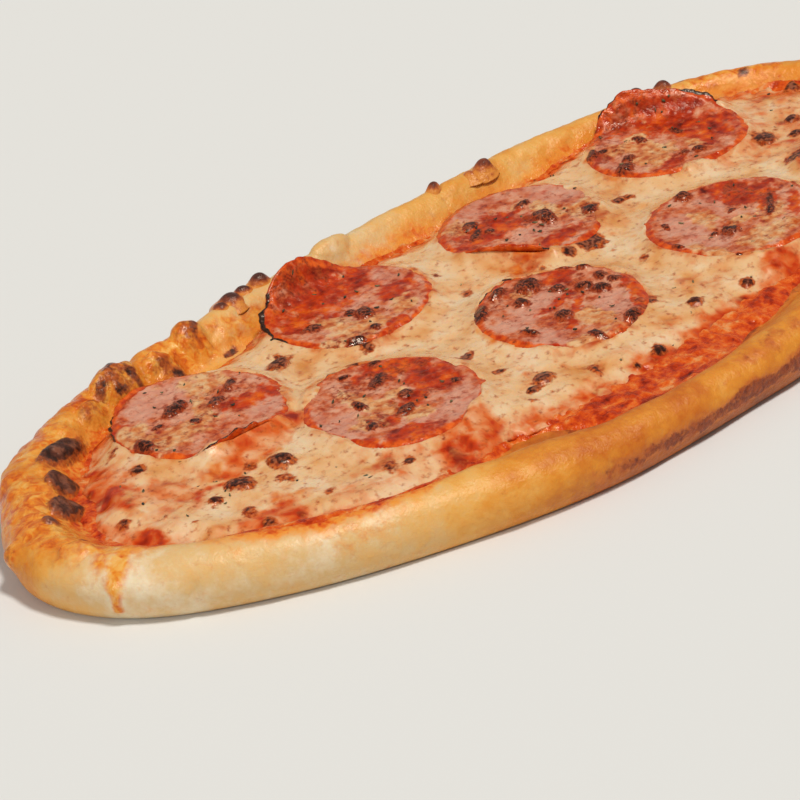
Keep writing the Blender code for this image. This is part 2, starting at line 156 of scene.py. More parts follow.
def stations(turn, table, column=1, spread=2.5):  # a table's value round the oval, rounded off
    keys, values = [row[0] for row in table], [row[column] for row in table]
    shifts = (-1.0, -0.5, 0.0, 0.5, 1.0)
    total = sum(np.interp(np.degrees(turn) + shift * spread, keys, values, period=360) for shift in shifts)
    return total / len(shifts)


def swing(x):  # how far the bread bends to the side towards its ends
    return bread["swingLeft"] * smooth((-x - 30) / 120) + bread["swingRight"] * smooth((x - 20) / 100)


def outline(turn):  # half length, the edge as a share of it, and the share that 1 mm takes up
    cosine, sine = np.cos(turn), np.sin(turn)
    halfLength = np.where(cosine < 0, bread["halfLengthLeft"], bread["halfLengthRight"])
    power = bread["powerLeft"] + (bread["powerRight"] - bread["powerLeft"]) * smooth(0.5 + 0.7 * cosine)
    radius = (np.abs(cosine) ** power + np.abs(sine) ** power) ** (-1.0 / power)
    lump = np.sin(5 * turn + 0.6) + 0.7 * np.sin(8 * turn + 2.1) + 0.5 * np.sin(13 * turn)
    steep = np.hypot(np.abs(radius * cosine) ** (power - 1) / halfLength,
                     np.abs(radius * sine) ** (power - 1) / bread["halfWidth"])
    proud = stations(turn, bread["outline"], 1, 8.0) + bread["lump"] * lump / 2.2
    return halfLength, radius * (1 + proud * steep), steep


def fromEdge(turn, inset):  # a place in from the edge, in a direction from the middle
    halfLength, radius, steep = outline(turn)
    scale = radius * (1 - inset * steep)
    x = halfLength * scale * np.cos(turn)
    return x, bread["halfWidth"] * scale * np.sin(turn) + swing(x)


def edgeOf(x, y):  # the direction of a place and how far inside the edge it lies
    halfLength = np.where(x < 0, bread["halfLengthLeft"], bread["halfLengthRight"])
    u, v = x / halfLength, (y - swing(x)) / bread["halfWidth"]
    turn = np.arctan2(v, u)
    radius, steep = outline(turn)[1:]
    return turn, (1 - np.hypot(u, v) / radius) / steep


def rim(turn):  # height of the crest, its inset and that of the slope's foot
    return [stations(turn, bread["rim"], column, 6.0) for column in (1, 2, 3)]


def breadTop(x, y):
    turn, inset = edgeOf(x, y)
    height, crest, foot = rim(turn)
    return bread["floor"] + (height - bread["floor"]) * (1 - smooth((inset - crest) / (foot - crest)))


def sauceTop(x, y):
    turn, inset = edgeOf(x, y)
    full = smooth((inset - stations(turn, sauce["edge"])) / 7)
    thick = sauce["edgeThickness"] + (sauce["thickness"] - sauce["edgeThickness"]) * full
    return breadTop(x, y) + sauce["gap"] + thick


def bed(x, y):  # level on which the slices lie
    return breadTop(x, y) + sauce["gap"] + sauce["thickness"] + cheese["clearance"] + cheese["thickness"]


def flat(x, y):
    return np.stack([x, y, np.zeros_like(x)], axis=-1)


def patch(x, y, row, seed, wobble):
    # distance from the middle of an uneven patch, 1 at its edge: centre x and y, half sizes, degrees
    cx, cy, halfX, halfY, turn = (tuple(row) + (0,))[:5]
    c, s = math.cos(math.radians(turn)), math.sin(math.radians(turn))
    u, v = (x - cx) * c + (y - cy) * s, (y - cy) * c - (x - cx) * s
    away = np.hypot(u / halfX, v / halfY)
    near = away < 2.2
    if near.any():
        away[near] += wobble * crumble(flat(x[near], y[near]), 0.9 * min(halfX, halfY), seed + 31, 2)
    return away


def domes(x, y, rows, seed, wobble=0.15):  # height of rounded blisters and how burnt they are
    raised, char = np.zeros_like(x), np.zeros_like(x)
    for number, row in enumerate(rows):
        away = np.maximum(patch(x, y, row[:5], seed + number, wobble), 0)
        raised = np.maximum(raised, 1.35 * row[5] * np.sqrt(np.clip(1 - away ** 2, 0, 1)))
        char = np.maximum(char, (row[6] if len(row) > 6 else 1.0) * np.clip(1.3 - away, 0, 1))
    return raised, char


def spots(x, y, rows, seed, wobble, soft):  # 1 or the row's strength on the patches, 0 outside them
    total = np.zeros_like(x)
    for number, row in enumerate(rows):
        away = patch(x, y, row, seed + number, wobble)
        strength = row[5] if len(row) > 5 else 1.0
        total = np.maximum(total, strength * (1 - smooth(away, 1 - soft, 1 + soft)))
    return total


def roundTurns(count):  # steps round the oval, closer together along its sides
    even = np.arange(count) * 2 * math.pi / count
    turn = even + 0.175 * np.sin(2 * even)
    return (turn + math.pi) % (2 * math.pi) - math.pi, even


def middleLine(even):
    x = bread["middleLine"] * np.cos(even)
    return x, swing(x)


def normals(points):  # of a grid of rings, outward
    around = np.roll(points, -1, axis=1) - np.roll(points, 1, axis=1)
    along = np.gradient(points, axis=0)
    normal = np.cross(around, along)
    return normal / np.maximum(np.linalg.norm(normal, axis=-1, keepdims=True), 1e-9)


# The solids were centred on the origin as a whole: find that shift from the crust's box
edgeTurns = np.linspace(-math.pi, math.pi, 1441)
edgeX, edgeY = fromEdge(edgeTurns, 0.0)
crustLow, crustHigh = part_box("crust")
shift = np.array([(crustLow.x + crustHigh.x) / 2 / mm - (edgeX.min() + edgeX.max()) / 2,
                  (crustLow.y + crustHigh.y) / 2 / mm - (edgeY.min() + edgeY.max()) / 2, 0.0])
print("flatbread: shift", shift.round(3))


def makePiece(name, points, faces, finish, masks=None):
    mesh = bpy.data.meshes.new(name)
    mesh.from_pydata(((points + shift) * mm).tolist(), [], faces)
    for mask, values in (masks or {}).items():
        layer = mesh.attributes.new(mask, "FLOAT", "POINT")
        layer.data.foreach_set("value", np.clip(values, 0, 1).astype(np.float32))
    mesh.materials.append(finish)
    mesh.shade_smooth()
    piece = bpy.data.objects.new(name, mesh)
    bpy.context.scene.collection.objects.link(piece)
    return piece


def ringPiece(name, points, finish, masks):
    # rows of rings; the first and the last row lie on the middle line and are closed along it
    rows, count = points.shape[:2]
    half = count // 2
    fold = np.minimum(np.arange(count), count - np.arange(count))
    index = np.zeros((rows, count), int)
    index[0] = fold
    index[1:-1] = half + 1 + np.arange((rows - 2) * count).reshape(rows - 2, count)
    index[-1] = half + 1 + (rows - 2) * count + fold

    def unfold(values):
        return np.concatenate([values[0][:half + 1], values[1:-1].reshape(-1, *values.shape[2:]),
                               values[-1][:half + 1]])

    low, high = index[:-1], index[1:]
    faces = np.stack([low, np.roll(low, -1, 1), np.roll(high, -1, 1), high], -1).reshape(-1, 4)
    return makePiece(name, unfold(points), faces.tolist(), finish,
                     {mask: unfold(values) for mask, values in masks.items()})


def paint(red, green, blue):  # a colour as picked on a screen, 0 to 255
    return tuple((c / 255 / 12.92 if c < 11 else ((c / 255 + 0.055) / 1.055) ** 2.4)
                 for c in (red, green, blue)) + (1.0,)


warm = (1.0, 0.86, 0.70, 1.0)  # fat on the surface tints what it reflects


class finishNodes:  # a Principled material and short ways to add nodes to it
    def __init__(self, name):
        self.material = bpy.data.materials.new(name)
        self.material.use_nodes = True
        self.nodes, self.links = self.material.node_tree.nodes, self.material.node_tree.links
        self.shader = self.nodes["Principled BSDF"]
        self.place = self.nodes.new("ShaderNodeTexCoord").outputs["Object"]

    def join(self, source, socket):
        if hasattr(source, "links"):
            self.links.new(source, socket)
        else:
            socket.default_value = source

    def add(self, kind, inputs, **settings):  # a node with its settings, values and links
        node = self.nodes.new("ShaderNode" + kind)
        for setting, value in settings.items():
            setattr(node, setting, value)
        for socket, source in inputs.items():
            self.join(source, node.inputs[socket])
        return node

    def mask(self, name):
        return self.add("Attribute", {}, attribute_name=name).outputs["Fac"]

    def noise(self, size, detail=3.0, rough=0.55, warp=0.0, offset=0.0):  # size in millimetres
        place = self.place
        if offset:
            place = self.add("VectorMath", {0: place, 1: (offset, offset * 0.7, offset * 0.3)}).outputs[0]
        return self.add("TexNoise", {"Vector": place, "Scale": 1 / (size * mm), "Detail": detail,
                                     "Roughness": rough, "Distortion": warp}).outputs["Fac"]

    def sum(self, kind, first, second):
        return self.add("Math", {0: first, 1: second}, operation=kind).outputs[0]

    def step(self, source, low, high, toLow=0.0, toHigh=1.0):
        inputs = {"Value": source, "From Min": low, "From Max": high, "To Min": toLow, "To Max": toHigh}
        return self.add("MapRange", inputs, interpolation_type="SMOOTHSTEP").outputs["Result"]

    def blend(self, first, *others):  # a source and its weight, then noises about their middle
        total = self.sum("MULTIPLY", *first)
        for source, weight in others:
            total = self.sum("ADD", total, self.sum("MULTIPLY", self.sum("SUBTRACT", source, 0.5), weight))
        return total

    def mix(self, share, first, second):
        return self.add("Mix", {"Factor": share, 6: first, 7: second}, data_type="RGBA").outputs[2]

    def cover(self, colour, over, mask, noise, amount, low, high):  # over on the mask, with a ragged edge
        return self.mix(self.step(self.blend((mask, 1.0), (noise, amount)), low, high), colour, over)

    def ramp(self, source, *stops):  # each stop: place, then red, green and blue from 0 to 255
        node = self.add("ValToRGB", {"Fac": source})
        keys = node.color_ramp.elements
        while len(keys) < len(stops):
            keys.new(0.5)
        for key, (place, *colour) in zip(keys, stops):
            key.position, key.color = place, paint(*colour)
        return node.outputs["Color"]

    def bump(self, *layers):  # (height source, depth in millimetres) pairs
        below = {}
        for source, depth in layers:
            node = self.add("Bump", {"Strength": 1.0, "Distance": depth * mm, "Height": source, **below})
            below = {"Normal": node.outputs["Normal"]}
        return node.outputs["Normal"]

    def set(self, **values):
        for name, value in values.items():
            self.join(value, self.shader.inputs[name.replace("_", " ")])
        return self.material


# The crust: pale and smooth at the near left, golden to the right, burnt blisters at the far left
crust = {
    "around": 1200, "lowRows": 18, "highRows": 24, "slopeRows": 26, "floorRows": 5,
    # burnt blisters: x, y, half sizes, turn, height, how burnt
    "blisters": (
        (-131.3, 52.4, 10.4, 3.2, 17, 2, 1), (-141.3, 40.2, 5.8, 4, 12, 2.1, 1),
        (-148.2, 29.8, 6.4, 4, 21, 2.1, 1), (-158.8, 22.8, 2.4, 2.4, 0, 1.3, 0.9),
        (-98, 68, 8.5, 6, 10, 3, 0.35), (-82, 65, 6.5, 5, -30, 2.4, 0.3),
        (-68, 70, 5, 6, 0, 2.6, 0.3), (-9, 75, 7, 4, 0, 1.8, 0),
        (-112, 62, 5, 3, 20, 1.5, 0.3), (-166, 3.5, 5.2, 4.6, 0, 1.2, 0),
    ),
    "ooze": (-172.5, 25, 11, 3.6, 2.2),  # x, y, z, size and height of a browned lump
    # small burnt marks on the folds of the far rim
    "marks": (
        (-104, 66, 2.6, 1.4, 30), (-97, 71, 3.2, 1.6, 10), (-93, 66, 1.6, 3.2, 15),
        (-99, 64, 2.4, 1.3, 0), (-79, 62, 2.8, 3, 0), (-69, 56, 2.2, 2.4, 0),
        (-66, 70, 2.4, 1.2, 50), (-60, 63, 3, 1.2, 10), (-109, 65, 2, 1, 0),
        (126, 63, 1.6, 1.2, 0), (141, 51, 2.2, 1.4, 0), (152, 49, 1.8, 1.4, 0), (-159, 9, 1.4, 1.2, 0),
    ),
    "markStrength": 0.55,
    # toasted blotches low on the near side: x range, height of the band
    "toastFrom": -70, "toastTo": 105, "toastHeight": 6.6,
    # orange oil: x, y, half sizes, turn, strength
    "oil": (
        (-154, 30, 18, 28, 25, 0.95), (-160, 4, 10, 13, 0, 0.8), (-150, -7, 12, 9, 0, 0.8),
        (-132, 58, 18, 9, 28, 0.8), (-104, 66, 20, 9, 12, 0.8), (-76, 66, 18, 9, 0, 0.9),
        (-50, 66, 14, 5, 0, 0.7), (20, 66, 40, 4, 0, 0.5), (84, 64, 36, 5, 0, 0.6),
        (138, 52, 20, 14, -35, 0.7), (-112, -50, 14, 6, -20, 0.4), (-60, -53, 18, 5, 0, 0.35),
        (-139, -21, 5, 3, -40, 0.5), (60, -54, 16, 8, 20, 0.5),
    ),
    "drip": ((-150, -6), (-160, -9), (-168.5, -14)),  # a run of oil down the left end
    "pits": ((-154.5, -30.5, 1.3, 1.2), (-121, -62, 1, 0.8)),  # x, y, size, depth
}


def crustFinish():
    make = finishNodes("baked_dough")
    bakeAndShade, toast, char = make.mask("bakeAndShade"), make.mask("toast"), make.mask("char")
    oil, damp = make.mask("oil"), make.mask("sauceStain")
    coarse, middle, fine = make.noise(9, 3), make.noise(3.4, 4, 0.6, offset=0.2), make.noise(1.3, 4, 0.6)
    # the bake mask also carries painted shade low on the near side and painted light at the near tip
    colour = make.ramp(
        make.blend((bakeAndShade, 1.0), (coarse, 0.45), (middle, 0.22), (fine, 0.12)),
        (0.0, 234, 215, 182), (0.20, 221, 182, 125), (0.40, 228, 168, 84),
        (0.56, 220, 140, 44), (0.74, 196, 102, 24), (1.0, 130, 56, 12))
    stain = make.ramp(
        make.blend((0.45, 1.0), (make.noise(3.0, 3, 0.55, 0.8), 1.8), (coarse, 1.0)),
        (0.1, 236, 176, 88), (0.35, 232, 150, 50), (0.6, 220, 112, 22), (0.9, 186, 68, 4))
    colour = make.cover(colour, stain, oil, middle, 1.1, 0.15, 0.95)
    red = make.ramp(
        make.blend((0.78, 1.0), (damp, -0.6), (make.noise(2.4, 3, 0.55, 0.5), 1.4), (coarse, 0.8)),
        (0.1, 150, 32, 0), (0.3, 198, 62, 4), (0.5, 222, 104, 20), (0.75, 232, 146, 54))
    colour = make.cover(colour, red, damp, make.noise(3.4, 3, 0.55), 1.0, 0.0, 0.8)
    tan = make.ramp(middle, (0.35, 174, 78, 24), (0.65, 212, 120, 46))
    colour = make.cover(colour, tan, toast, make.noise(4.2, 4, 0.6, 0.3), 1.6, 0.12, 0.70)
    brown = make.ramp(fine, (0.35, 112, 38, 10), (0.65, 166, 74, 26))
    colour = make.cover(colour, brown, toast, make.noise(2.2, 4, 0.65, 0.3), 1.9, 0.55, 1.0)
    scorch = make.ramp(fine, (0.3, 134, 54, 18), (0.7, 190, 96, 40))
    colour = make.cover(colour, scorch, char, make.noise(2.0, 4, 0.6, offset=0.9), 0.8, 0.10, 0.42)
    black = make.ramp(middle, (0.38, 50, 24, 16), (0.5, 84, 42, 30), (0.62, 130, 76, 54))
    colour = make.cover(colour, black, char, make.noise(1.6, 3, 0.55), 0.9, 0.30, 0.62)
    greasy = make.blend((oil, 1.0), (coarse, 0.6), (damp, 0.5))
    blisters, speck = make.sum("MULTIPLY", fine, bakeAndShade), make.noise(0.6, 3, 0.6, offset=0.3)
    return make.set(
        Base_Color=colour, Roughness=make.step(greasy, 0.1, 0.9, 0.36, 0.11), Specular_IOR_Level=0.4,
        Specular_Tint=warm, Subsurface_Weight=0.2, Subsurface_Scale=2.0 * mm,
        Subsurface_Radius=(1.0, 0.5, 0.2), Normal=make.bump((speck, 0.07), (blisters, 0.5), (middle, 0.35)))


def crustRows(turn, even):  # rings from the middle of the base round the rim to the middle of the top
    height, crest, foot = rim(turn)
    bulge, floor, inset0 = bread["bulge"], bread["floor"], bread["baseInset"]
    midX, midY = middleLine(even)
    rows = []

    def add(inset, z, share=0.0):
        x, y = fromEdge(turn, inset)
        rows.append(np.stack([x + (midX - x) * share, y + (midY - y) * share, z + 0 * x], -1))

    for share in (1.0, 0.5):
        add(inset0, 0, share)
    for a in np.linspace(0, math.pi / 2, crust["lowRows"]):
        add(inset0 * (1 - math.sin(a)), bulge * (1 - math.cos(a)))
    for a in np.linspace(0, math.pi / 2, crust["highRows"] + 1)[1:]:
        add(crest * (1 - math.cos(a)), bulge + (height - bulge) * math.sin(a))
    for share in np.linspace(0, 1, crust["slopeRows"] + 1)[1:]:
        add(crest + (foot - crest) * share, floor + (height - floor) * (1 - smooth(share)))
    for share in np.linspace(0, 1, crust["floorRows"] + 1)[1:]:
        add(foot, floor, share)
    return np.array(rows)


def nearLine(x, y, line, width):  # 1 on a line through points, 0 a width away
    best = np.full(x.shape, 1e9)
    for (ax, ay), (bx, by) in zip(line[:-1], line[1:]):
        dx, dy = bx - ax, by - ay
        share = np.clip(((x - ax) * dx + (y - ay) * dy) / (dx ** 2 + dy ** 2), 0, 1)
        best = np.minimum(best, np.hypot(x - ax - share * dx, y - ay - share * dy))
    return 1 - smooth(best / width)


def makeCrust():
    turn, even = roundTurns(crust["around"])
    points = crustRows(turn, even)
    x, y, z = points[..., 0], points[..., 1], points[..., 2]
    normal = normals(points)
    inset = edgeOf(x, y)[1]
    side = np.broadcast_to(np.sin(turn), x.shape)
    left = smooth(-x, 40, 150)
    above, onTop = smooth(z, 0.5, 5), z > bread["bulge"]
    far, near = smooth(side, 0.0, 0.5), smooth(-side, 0.0, 0.4)
    cover = stations(turn, sauce["edge"]) - stations(turn, sauce["reach"])
    outsideSauce = 1 - smooth(inset - cover, -2, 3)

    relief = 0.45 * waves(points, 17, 1) + 0.22 * waves(points, 8, 2)
    folds = np.maximum(0, crumble(points, 11, 5, 2)) * (0.25 + far)
    relief += (0.35 + 0.9 * far * smooth(-x, -20, 60)) * folds
    relief += 0.10 * waves(points, 3.2, 9) * (0.4 + far + smooth(x, 0, 60))
    relief -= 0.25 * np.maximum(0, waves(points, 26, 14))
    relief *= above * outsideSauce
    raised, char = domes(x, y, crust["blisters"], 0, 0.07)
    raised *= onTop * (1 + 0.15 * waves(points, 2.5, 40))
    char = np.maximum(char, crust["markStrength"] * spots(x, y, crust["marks"], 50, 0.5, 0.7)) * onTop
    cx, cy, cz, size, lump = crust["ooze"]
    ooze = np.exp(-((x - cx) ** 2 + (y - cy) ** 2 + (z - cz) ** 2) / size ** 2)
    relief += lump * ooze
    char = np.maximum(char, 0.24 * smooth(ooze, 0.1, 0.8))
    uneven = crumble(points, 6, 45, 3) * outsideSauce
    relief += 0.55 * left * smooth(side, -0.5, 0) * smooth(z, 10, 14) * uneven
    for cx, cy, size, depth in crust["pits"]:
        relief -= depth * np.exp(-((x - cx) ** 2 + (y - cy) ** 2) / size ** 2) * near
    drip = nearLine(x, y, crust["drip"], 3.2 + 3.4 * smooth(z, 7, 15.5)) * smooth(z, 3.5, 4.5)
    relief += 0.6 * drip
    points = points + normal * relief[..., None]
    points[..., 2] += raised

    # how baked, with painted shade and light mixed in: pale near left, golden right, darker at the left tip;
    # darker low on the near side, partly from baking and partly as painted shade where the side faces down;
    # paler at the near tip as painted light over the shade it lies in
    bakeAndShade = 0.19 + 0.46 * smooth(x, -125, -40) * near + 0.12 * (1 - far - near)
    bakeAndShade += far * (0.06 + 0.20 * smooth(x, -10, 50) + 0.20 * smooth(-x, 45, 90))
    # painted light: the near tip is made paler to make up for the shade it lies in; the near side is also
    # made paler high up to the right
    bakeAndShade -= (0.12 * smooth(-x, 145, 165) + 0.10 * smooth(x, 0, 50) * smooth(z, 8, 14)) * near
    # partly painted shade: darker low on the near side, which faces down away from the light, as well as
    # baked more there
    bakeAndShade += 0.22 * near * smooth(-z, -12, -2) * smooth(x, -90, 0)
    bakeAndShade += 0.10 * near * smooth(inset, 7, 15) * (1 - smooth(x, 0, 60))
    bakeAndShade += 0.26 * left * (1 - near) * smooth(side, -0.35, 0.2)
    bakeAndShade += 0.10 * smooth(x, 100, 165) + 0.08 * crumble(points, 20, 60, 2)
    # toasted: a wandering band low on the near side and blotches above it
    plan = flat(x, y)
    wander = z - crust["toastHeight"] - 2.0 * waves(plan, 38, 72) - 1.0 * waves(plan, 11, 73)
    band = np.exp(-(wander / (2.4 + 1.6 * waves(plan, 19, 74))) ** 2) * near * smooth(z, 1.2, 3.2)
    band *= 1.35 + 0.8 * waves(plan, 24, 75)
    along = smooth(x, crust["toastFrom"], -20) * (1 - smooth(x, 60, crust["toastTo"]))
    toast = band * along * (1.0 + 0.45 * waves(points, 7, 70))
    blotch = np.exp(-((inset - 5.0) / 4) ** 2) * near * smooth(x, -30, 10) * (1 - smooth(x, 80, 150))
    toast = np.maximum(toast, 0.5 * blotch * (0.5 + 0.8 * waves(points, 7, 71)))
    oil = spots(x, y, crust["oil"], 80, 0.45, 0.6) * smooth(z, 7, 11)
    oil = np.maximum(np.maximum(oil, drip), 0.8 * smooth(ooze, 0.05, 0.5))
    cover = cover + (1.2 + 1.5 * left) * crumble(points, 9, 64, 3)
    stain = smooth(inset - cover, -4.5 - 3.0 * left, 1.0) * smooth(z, 8, 9) * (0.62 + 0.38 * left)
    piece = ringPiece("crust_baked", points, crustFinish(), {
        "bakeAndShade": bakeAndShade, "toast": toast, "char": char, "oil": oil, "sauceStain": stain})
    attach(piece, "root")
    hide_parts("crust")


makeCrust()
print("flatbread: crust made")


def layerPoints(look, layer, under, over):
    # rings from the middle line under a layer out to its uneven edge and back over its top
    turn, even = roundTurns(look["around"])
    inset = stations(turn, layer["edge"]) - stations(turn, layer["reach"])
    inset = inset + look["ragged"] * crumble(flat(*fromEdge(turn, inset)), 15, 90, 4, 0.6)
    x0, y0 = fromEdge(turn, inset)
    midX, midY = middleLine(even)
    rows = []
    lowShares = (1.0, 0.5, 0.12, 0.0)
    for share in lowShares:
        x, y = x0 + (midX - x0) * share, y0 + (midY - y0) * share
        rows.append(np.stack([x, y, under(x, y) - look["sunk"]], -1))
    for share in np.linspace(0, 1, look["rows"]):
        x, y = x0 + (midX - x0) * share, y0 + (midY - y0) * share
        rows.append(np.stack([x, y, over(x, y, edgeOf(x, y)[1] - inset)], -1))
    return np.array(rows), np.arange(len(rows))[:, None] >= len(lowShares)


sauceLook = {"around": 1200, "rows": 76, "ragged": 1.5, "sunk": 0.8, "pulp": 0.6}


def sauceFinish():
    make = finishNodes("tomato_sauce")
    pulp, fine = make.noise(3.2, 3, 0.55, 0.4), make.noise(0.9, 2, 0.5)
    broad = make.noise(9, 3, 0.5, offset=0.4)
    level = make.blend((make.mask("deep"), -0.14), (pulp, 1.5), (broad, 1.5), (fine, 0.3))
    colour = make.ramp(
        make.sum("ADD", level, 0.64), (0.0, 96, 14, 0), (0.22, 148, 32, 0), (0.42, 190, 56, 4),
        (0.60, 212, 82, 14), (0.78, 222, 110, 38), (0.95, 226, 150, 88))
    return make.set(
        Base_Color=colour, Roughness=make.step(fine, 0.3, 0.7, 0.14, 0.34), Specular_IOR_Level=0.3,
        Specular_Tint=warm, Subsurface_Weight=0.1, Subsurface_Scale=1.5 * mm,
        Subsurface_Radius=(1.0, 0.3, 0.15), Normal=make.bump((fine, 0.16), (pulp, 0.6)))


def saucePlace(x, y, depth):  # top of the sauce, which thins out to nothing at its edge
    full = smooth(depth + 1.2 * crumble(flat(x, y), 5, 95, 2), 0, 4.5)
    ground = breadTop(x, y)
    return ground - 0.5 * (1 - smooth(depth, 0, 2)) + (sauceTop(x, y) - ground) * full


def makeSauce():
    points, top = layerPoints(sauceLook, sauce, breadTop, saucePlace)
    x, y, z = points[..., 0], points[..., 1], points[..., 2]
    pulp = sauceLook["pulp"] * (crumble(points, 5, 101, 3) + 0.9 * bubbles(x, y, 3.8, 5, 0.5))
    turn, inset = edgeOf(x, y)
    z += pulp * top * smooth(inset - stations(turn, sauce["edge"]), -0.5, 2)
    deep = 0.8 * smooth(x, -45, -20) * smooth(-y, 40, 55) + 0.5 * smooth(crumble(points, 9, 110, 2), 0, 0.6)
    piece = ringPiece("sauce_spread", points, sauceFinish(), {"deep": deep})
    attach(piece, "root")
    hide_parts("sauce")


makeSauce()
print("flatbread: sauce made")

cheeseLook = {
    "around": 1300, "rows": 125, "ragged": 2.6, "sunk": 0.8,
    "seed": 5, "softBlisters": 80,  # small pale blisters, strewn at random
    # dark blisters: x, y, half sizes, turn, height
    "blisters": (
        (-114, -3, 4, 4.2, 0, 1.3), (-99.5, -3.5, 3.4, 4.2, 20, 1.3), (-123.5, -4, 2.2, 2, 0, 0.7),
        (-62, 39, 4.4, 3.2, 15, 1.3), (-27, -32, 4.2, 3, 20, 1.1), (-33, -34, 2.2, 1.8, 0, 0.7),
        (38, 14, 4, 4.4, 10, 1.4), (29, 14, 2.2, 2, 0, 0.8), (28, -37, 2.6, 2.4, 0, 1),
        (114, 17, 3.8, 4.4, -15, 1.3), (110, -1, 5, 3, 0, 1.2), (51.5, 28, 2.8, 2.8, 0, 1),
        (72, 10, 3, 2.6, 0, 1), (-125, 27, 2.4, 2.2, 0, 0.8), (-80, -34, 2, 1.6, 0, 0.6),
        (-31, -5, 3.2, 1.8, 20, 0.6), (-31, -19, 2.4, 1.4, 0, 0.5), (46, -40, 2.4, 1.8, 0, 0.8),
        (141, 50, 3.4, 3, 0, 1.2), (152, 49, 2.6, 2.4, 0, 1), (146, 36, 3, 2.4, 30, 1),
        (129, 20, 3, 2, 20, 0.8), (122, 12, 2.6, 2, 0, 0.8), (-104, -43, 3, 4.4, -20, 1),
        (4, -46, 2.6, 1.8, 0, 0.6), (62, 27, 2.2, 1.8, 0, 0.6), (-57, -30, 2.4, 1.4, 0, 0.5),
    ),
    # places where the cheese is thin and the sauce colours it: x, y, half sizes, turn, strength
    "thin": (
        (-137, 36, 12, 20, 0, 1), (-148, -2, 6, 13, 10, 1), (-123, -26, 12, 9, -20, 0.95),
        (-118, -41, 4.5, 8, -10, 1), (-104, -42, 5, 6, -20, 0.7), (-90, -50, 13, 5, -18, 0.9),
        (-64, -42, 15, 10, 25, 1), (-42, -47, 12, 4, 0, 0.75), (-20, -60, 24, 10, 0, 0.9),
        (26, -60, 28, 8, 0, 0.9), (55, -48, 12, 8, 25, 1), (-131, 5, 14, 9, 0, 0.5),
        (-98, 7, 18, 5.5, 10, 1.1), (-90, -32, 16, 10, 0, 0.42), (45, 65, 60, 4, 0, 0.7),
        (-70, 60, 26, 6, 0, 0.6), (138, 48, 22, 16, -35, 0.55), (118, 20, 24, 14, 20, 0.5),
        (150, 10, 12, 22, 0, 0.7), (-40, 22, 12, 6, 0, 0.3), (0, -42, 26, 4, 0, 0.3),
        (130, -40, 22, 10, 25, 0.6), (90, -48, 22, 7, 12, 0.6), (-127, 57, 14, 5, 25, 0.8),
    ),
    # orange oil: x, y, half sizes, turn, strength
    "oil": (
        (-99, 8, 19, 6, 8, 1.5), (-128, 10, 12, 7, 10, 0.9), (20, 21, 12, 5, 35, 1.3),
        (-112, -18, 10, 6, -30, 0.6), (-40, 30, 12, 5, 20, 0.6), (24, 30, 14, 12, 0, 0.5),
        (52, 18, 14, 7, 0, 0.35), (62, 33, 10, 6, 0, 0.35), (40, -28, 9, 12, 0, 0.5), (64, 4, 14, 6, 0, 0.5),
        (-26, -28, 14, 8, 0, 0.45), (112, 8, 16, 8, 0, 0.6), (140, 30, 14, 12, 0, 0.6),
        (-84, -22, 8, 10, 0, 0.4), (-12, 25, 18, 5, 0, 0.45), (-60, 28, 14, 5, 0, 0.5),
    ),
}


def sliceCover(x, y, grow=0.0):  # 1 under a slice, falling to 0 outside it
    cover = np.zeros_like(x)
    for row in slices:
        away = np.hypot(x - row[1], y - row[2]) - max(row[3], row[4]) - grow
        cover = np.maximum(cover, 1 - smooth(away, 0, 5))
    return cover


def cheeseDepth(x, y):  # how far inside the edge of the cheese
    turn, inset = edgeOf(x, y)
    return inset - stations(turn, cheese["edge"]) + stations(turn, cheese["reach"])


def cheeseTop(x, y, depth):
    full = smooth(depth + 2.8 * crumble(flat(x, y), 11, 96, 2, 0.4), -1.0, 10)
    lumps = 0.40 * bubbles(x, y, 7.5, 3, 0.45) + 0.25 * bubbles(x, y, 3.6, 8, 0.35)
    relief = 1.1 * crumble(flat(x, y), 13, 120, 3, 0.4) + lumps * smooth(depth, 4, 12)
    relief = relief * cheese["relief"] * (1 - sliceCover(x, y, 1.0))
    ground = sauceTop(x, y)
    return ground - 0.5 * (1 - smooth(depth, 0, 2)) + (bed(x, y) + relief - ground) * full


def wavy(turn, phase):  # how far out a slice's edge lies, about 1
    return 1 + 0.02 * np.sin(3 * turn + phase) + 0.012 * np.sin(5 * turn)


def fromSlice(row, x, y):  # distance beyond a slice's edge if it lay flat, and the direction from its centre
    u, v = (x - row[1]) / row[3], (y - row[2]) / row[4]
    turn = np.arctan2(v, u)
    return (np.hypot(u, v) / wavy(turn, row[1] * 0.37) - 1) * (row[3] + row[4]) / 2, turn


def rolled(u, v, rolls):  # bends what lies past each fold up round its bend radius
    lift = np.zeros_like(u)
    for facing, fold, bend in rolls:
        ax, ay = math.cos(math.radians(facing)), math.sin(math.radians(facing))
        past = np.clip(u * ax + v * ay - fold, 0, None)
        angle = past / bend
        moved = bend * np.sin(angle) - past
        u, v = u + moved * ax, v + moved * ay
        lift = lift + bend * (1 - np.cos(angle))
    return u, v, lift


def sliceLift(row, around):  # how high the edge of a slice stands and how far it is drawn in
    edgeU, edgeV = row[3] * np.cos(around), row[4] * np.sin(around)
    u, v, lift = rolled(edgeU, edgeV, row[5])
    return lift, np.hypot(u - edgeU, v - edgeV)


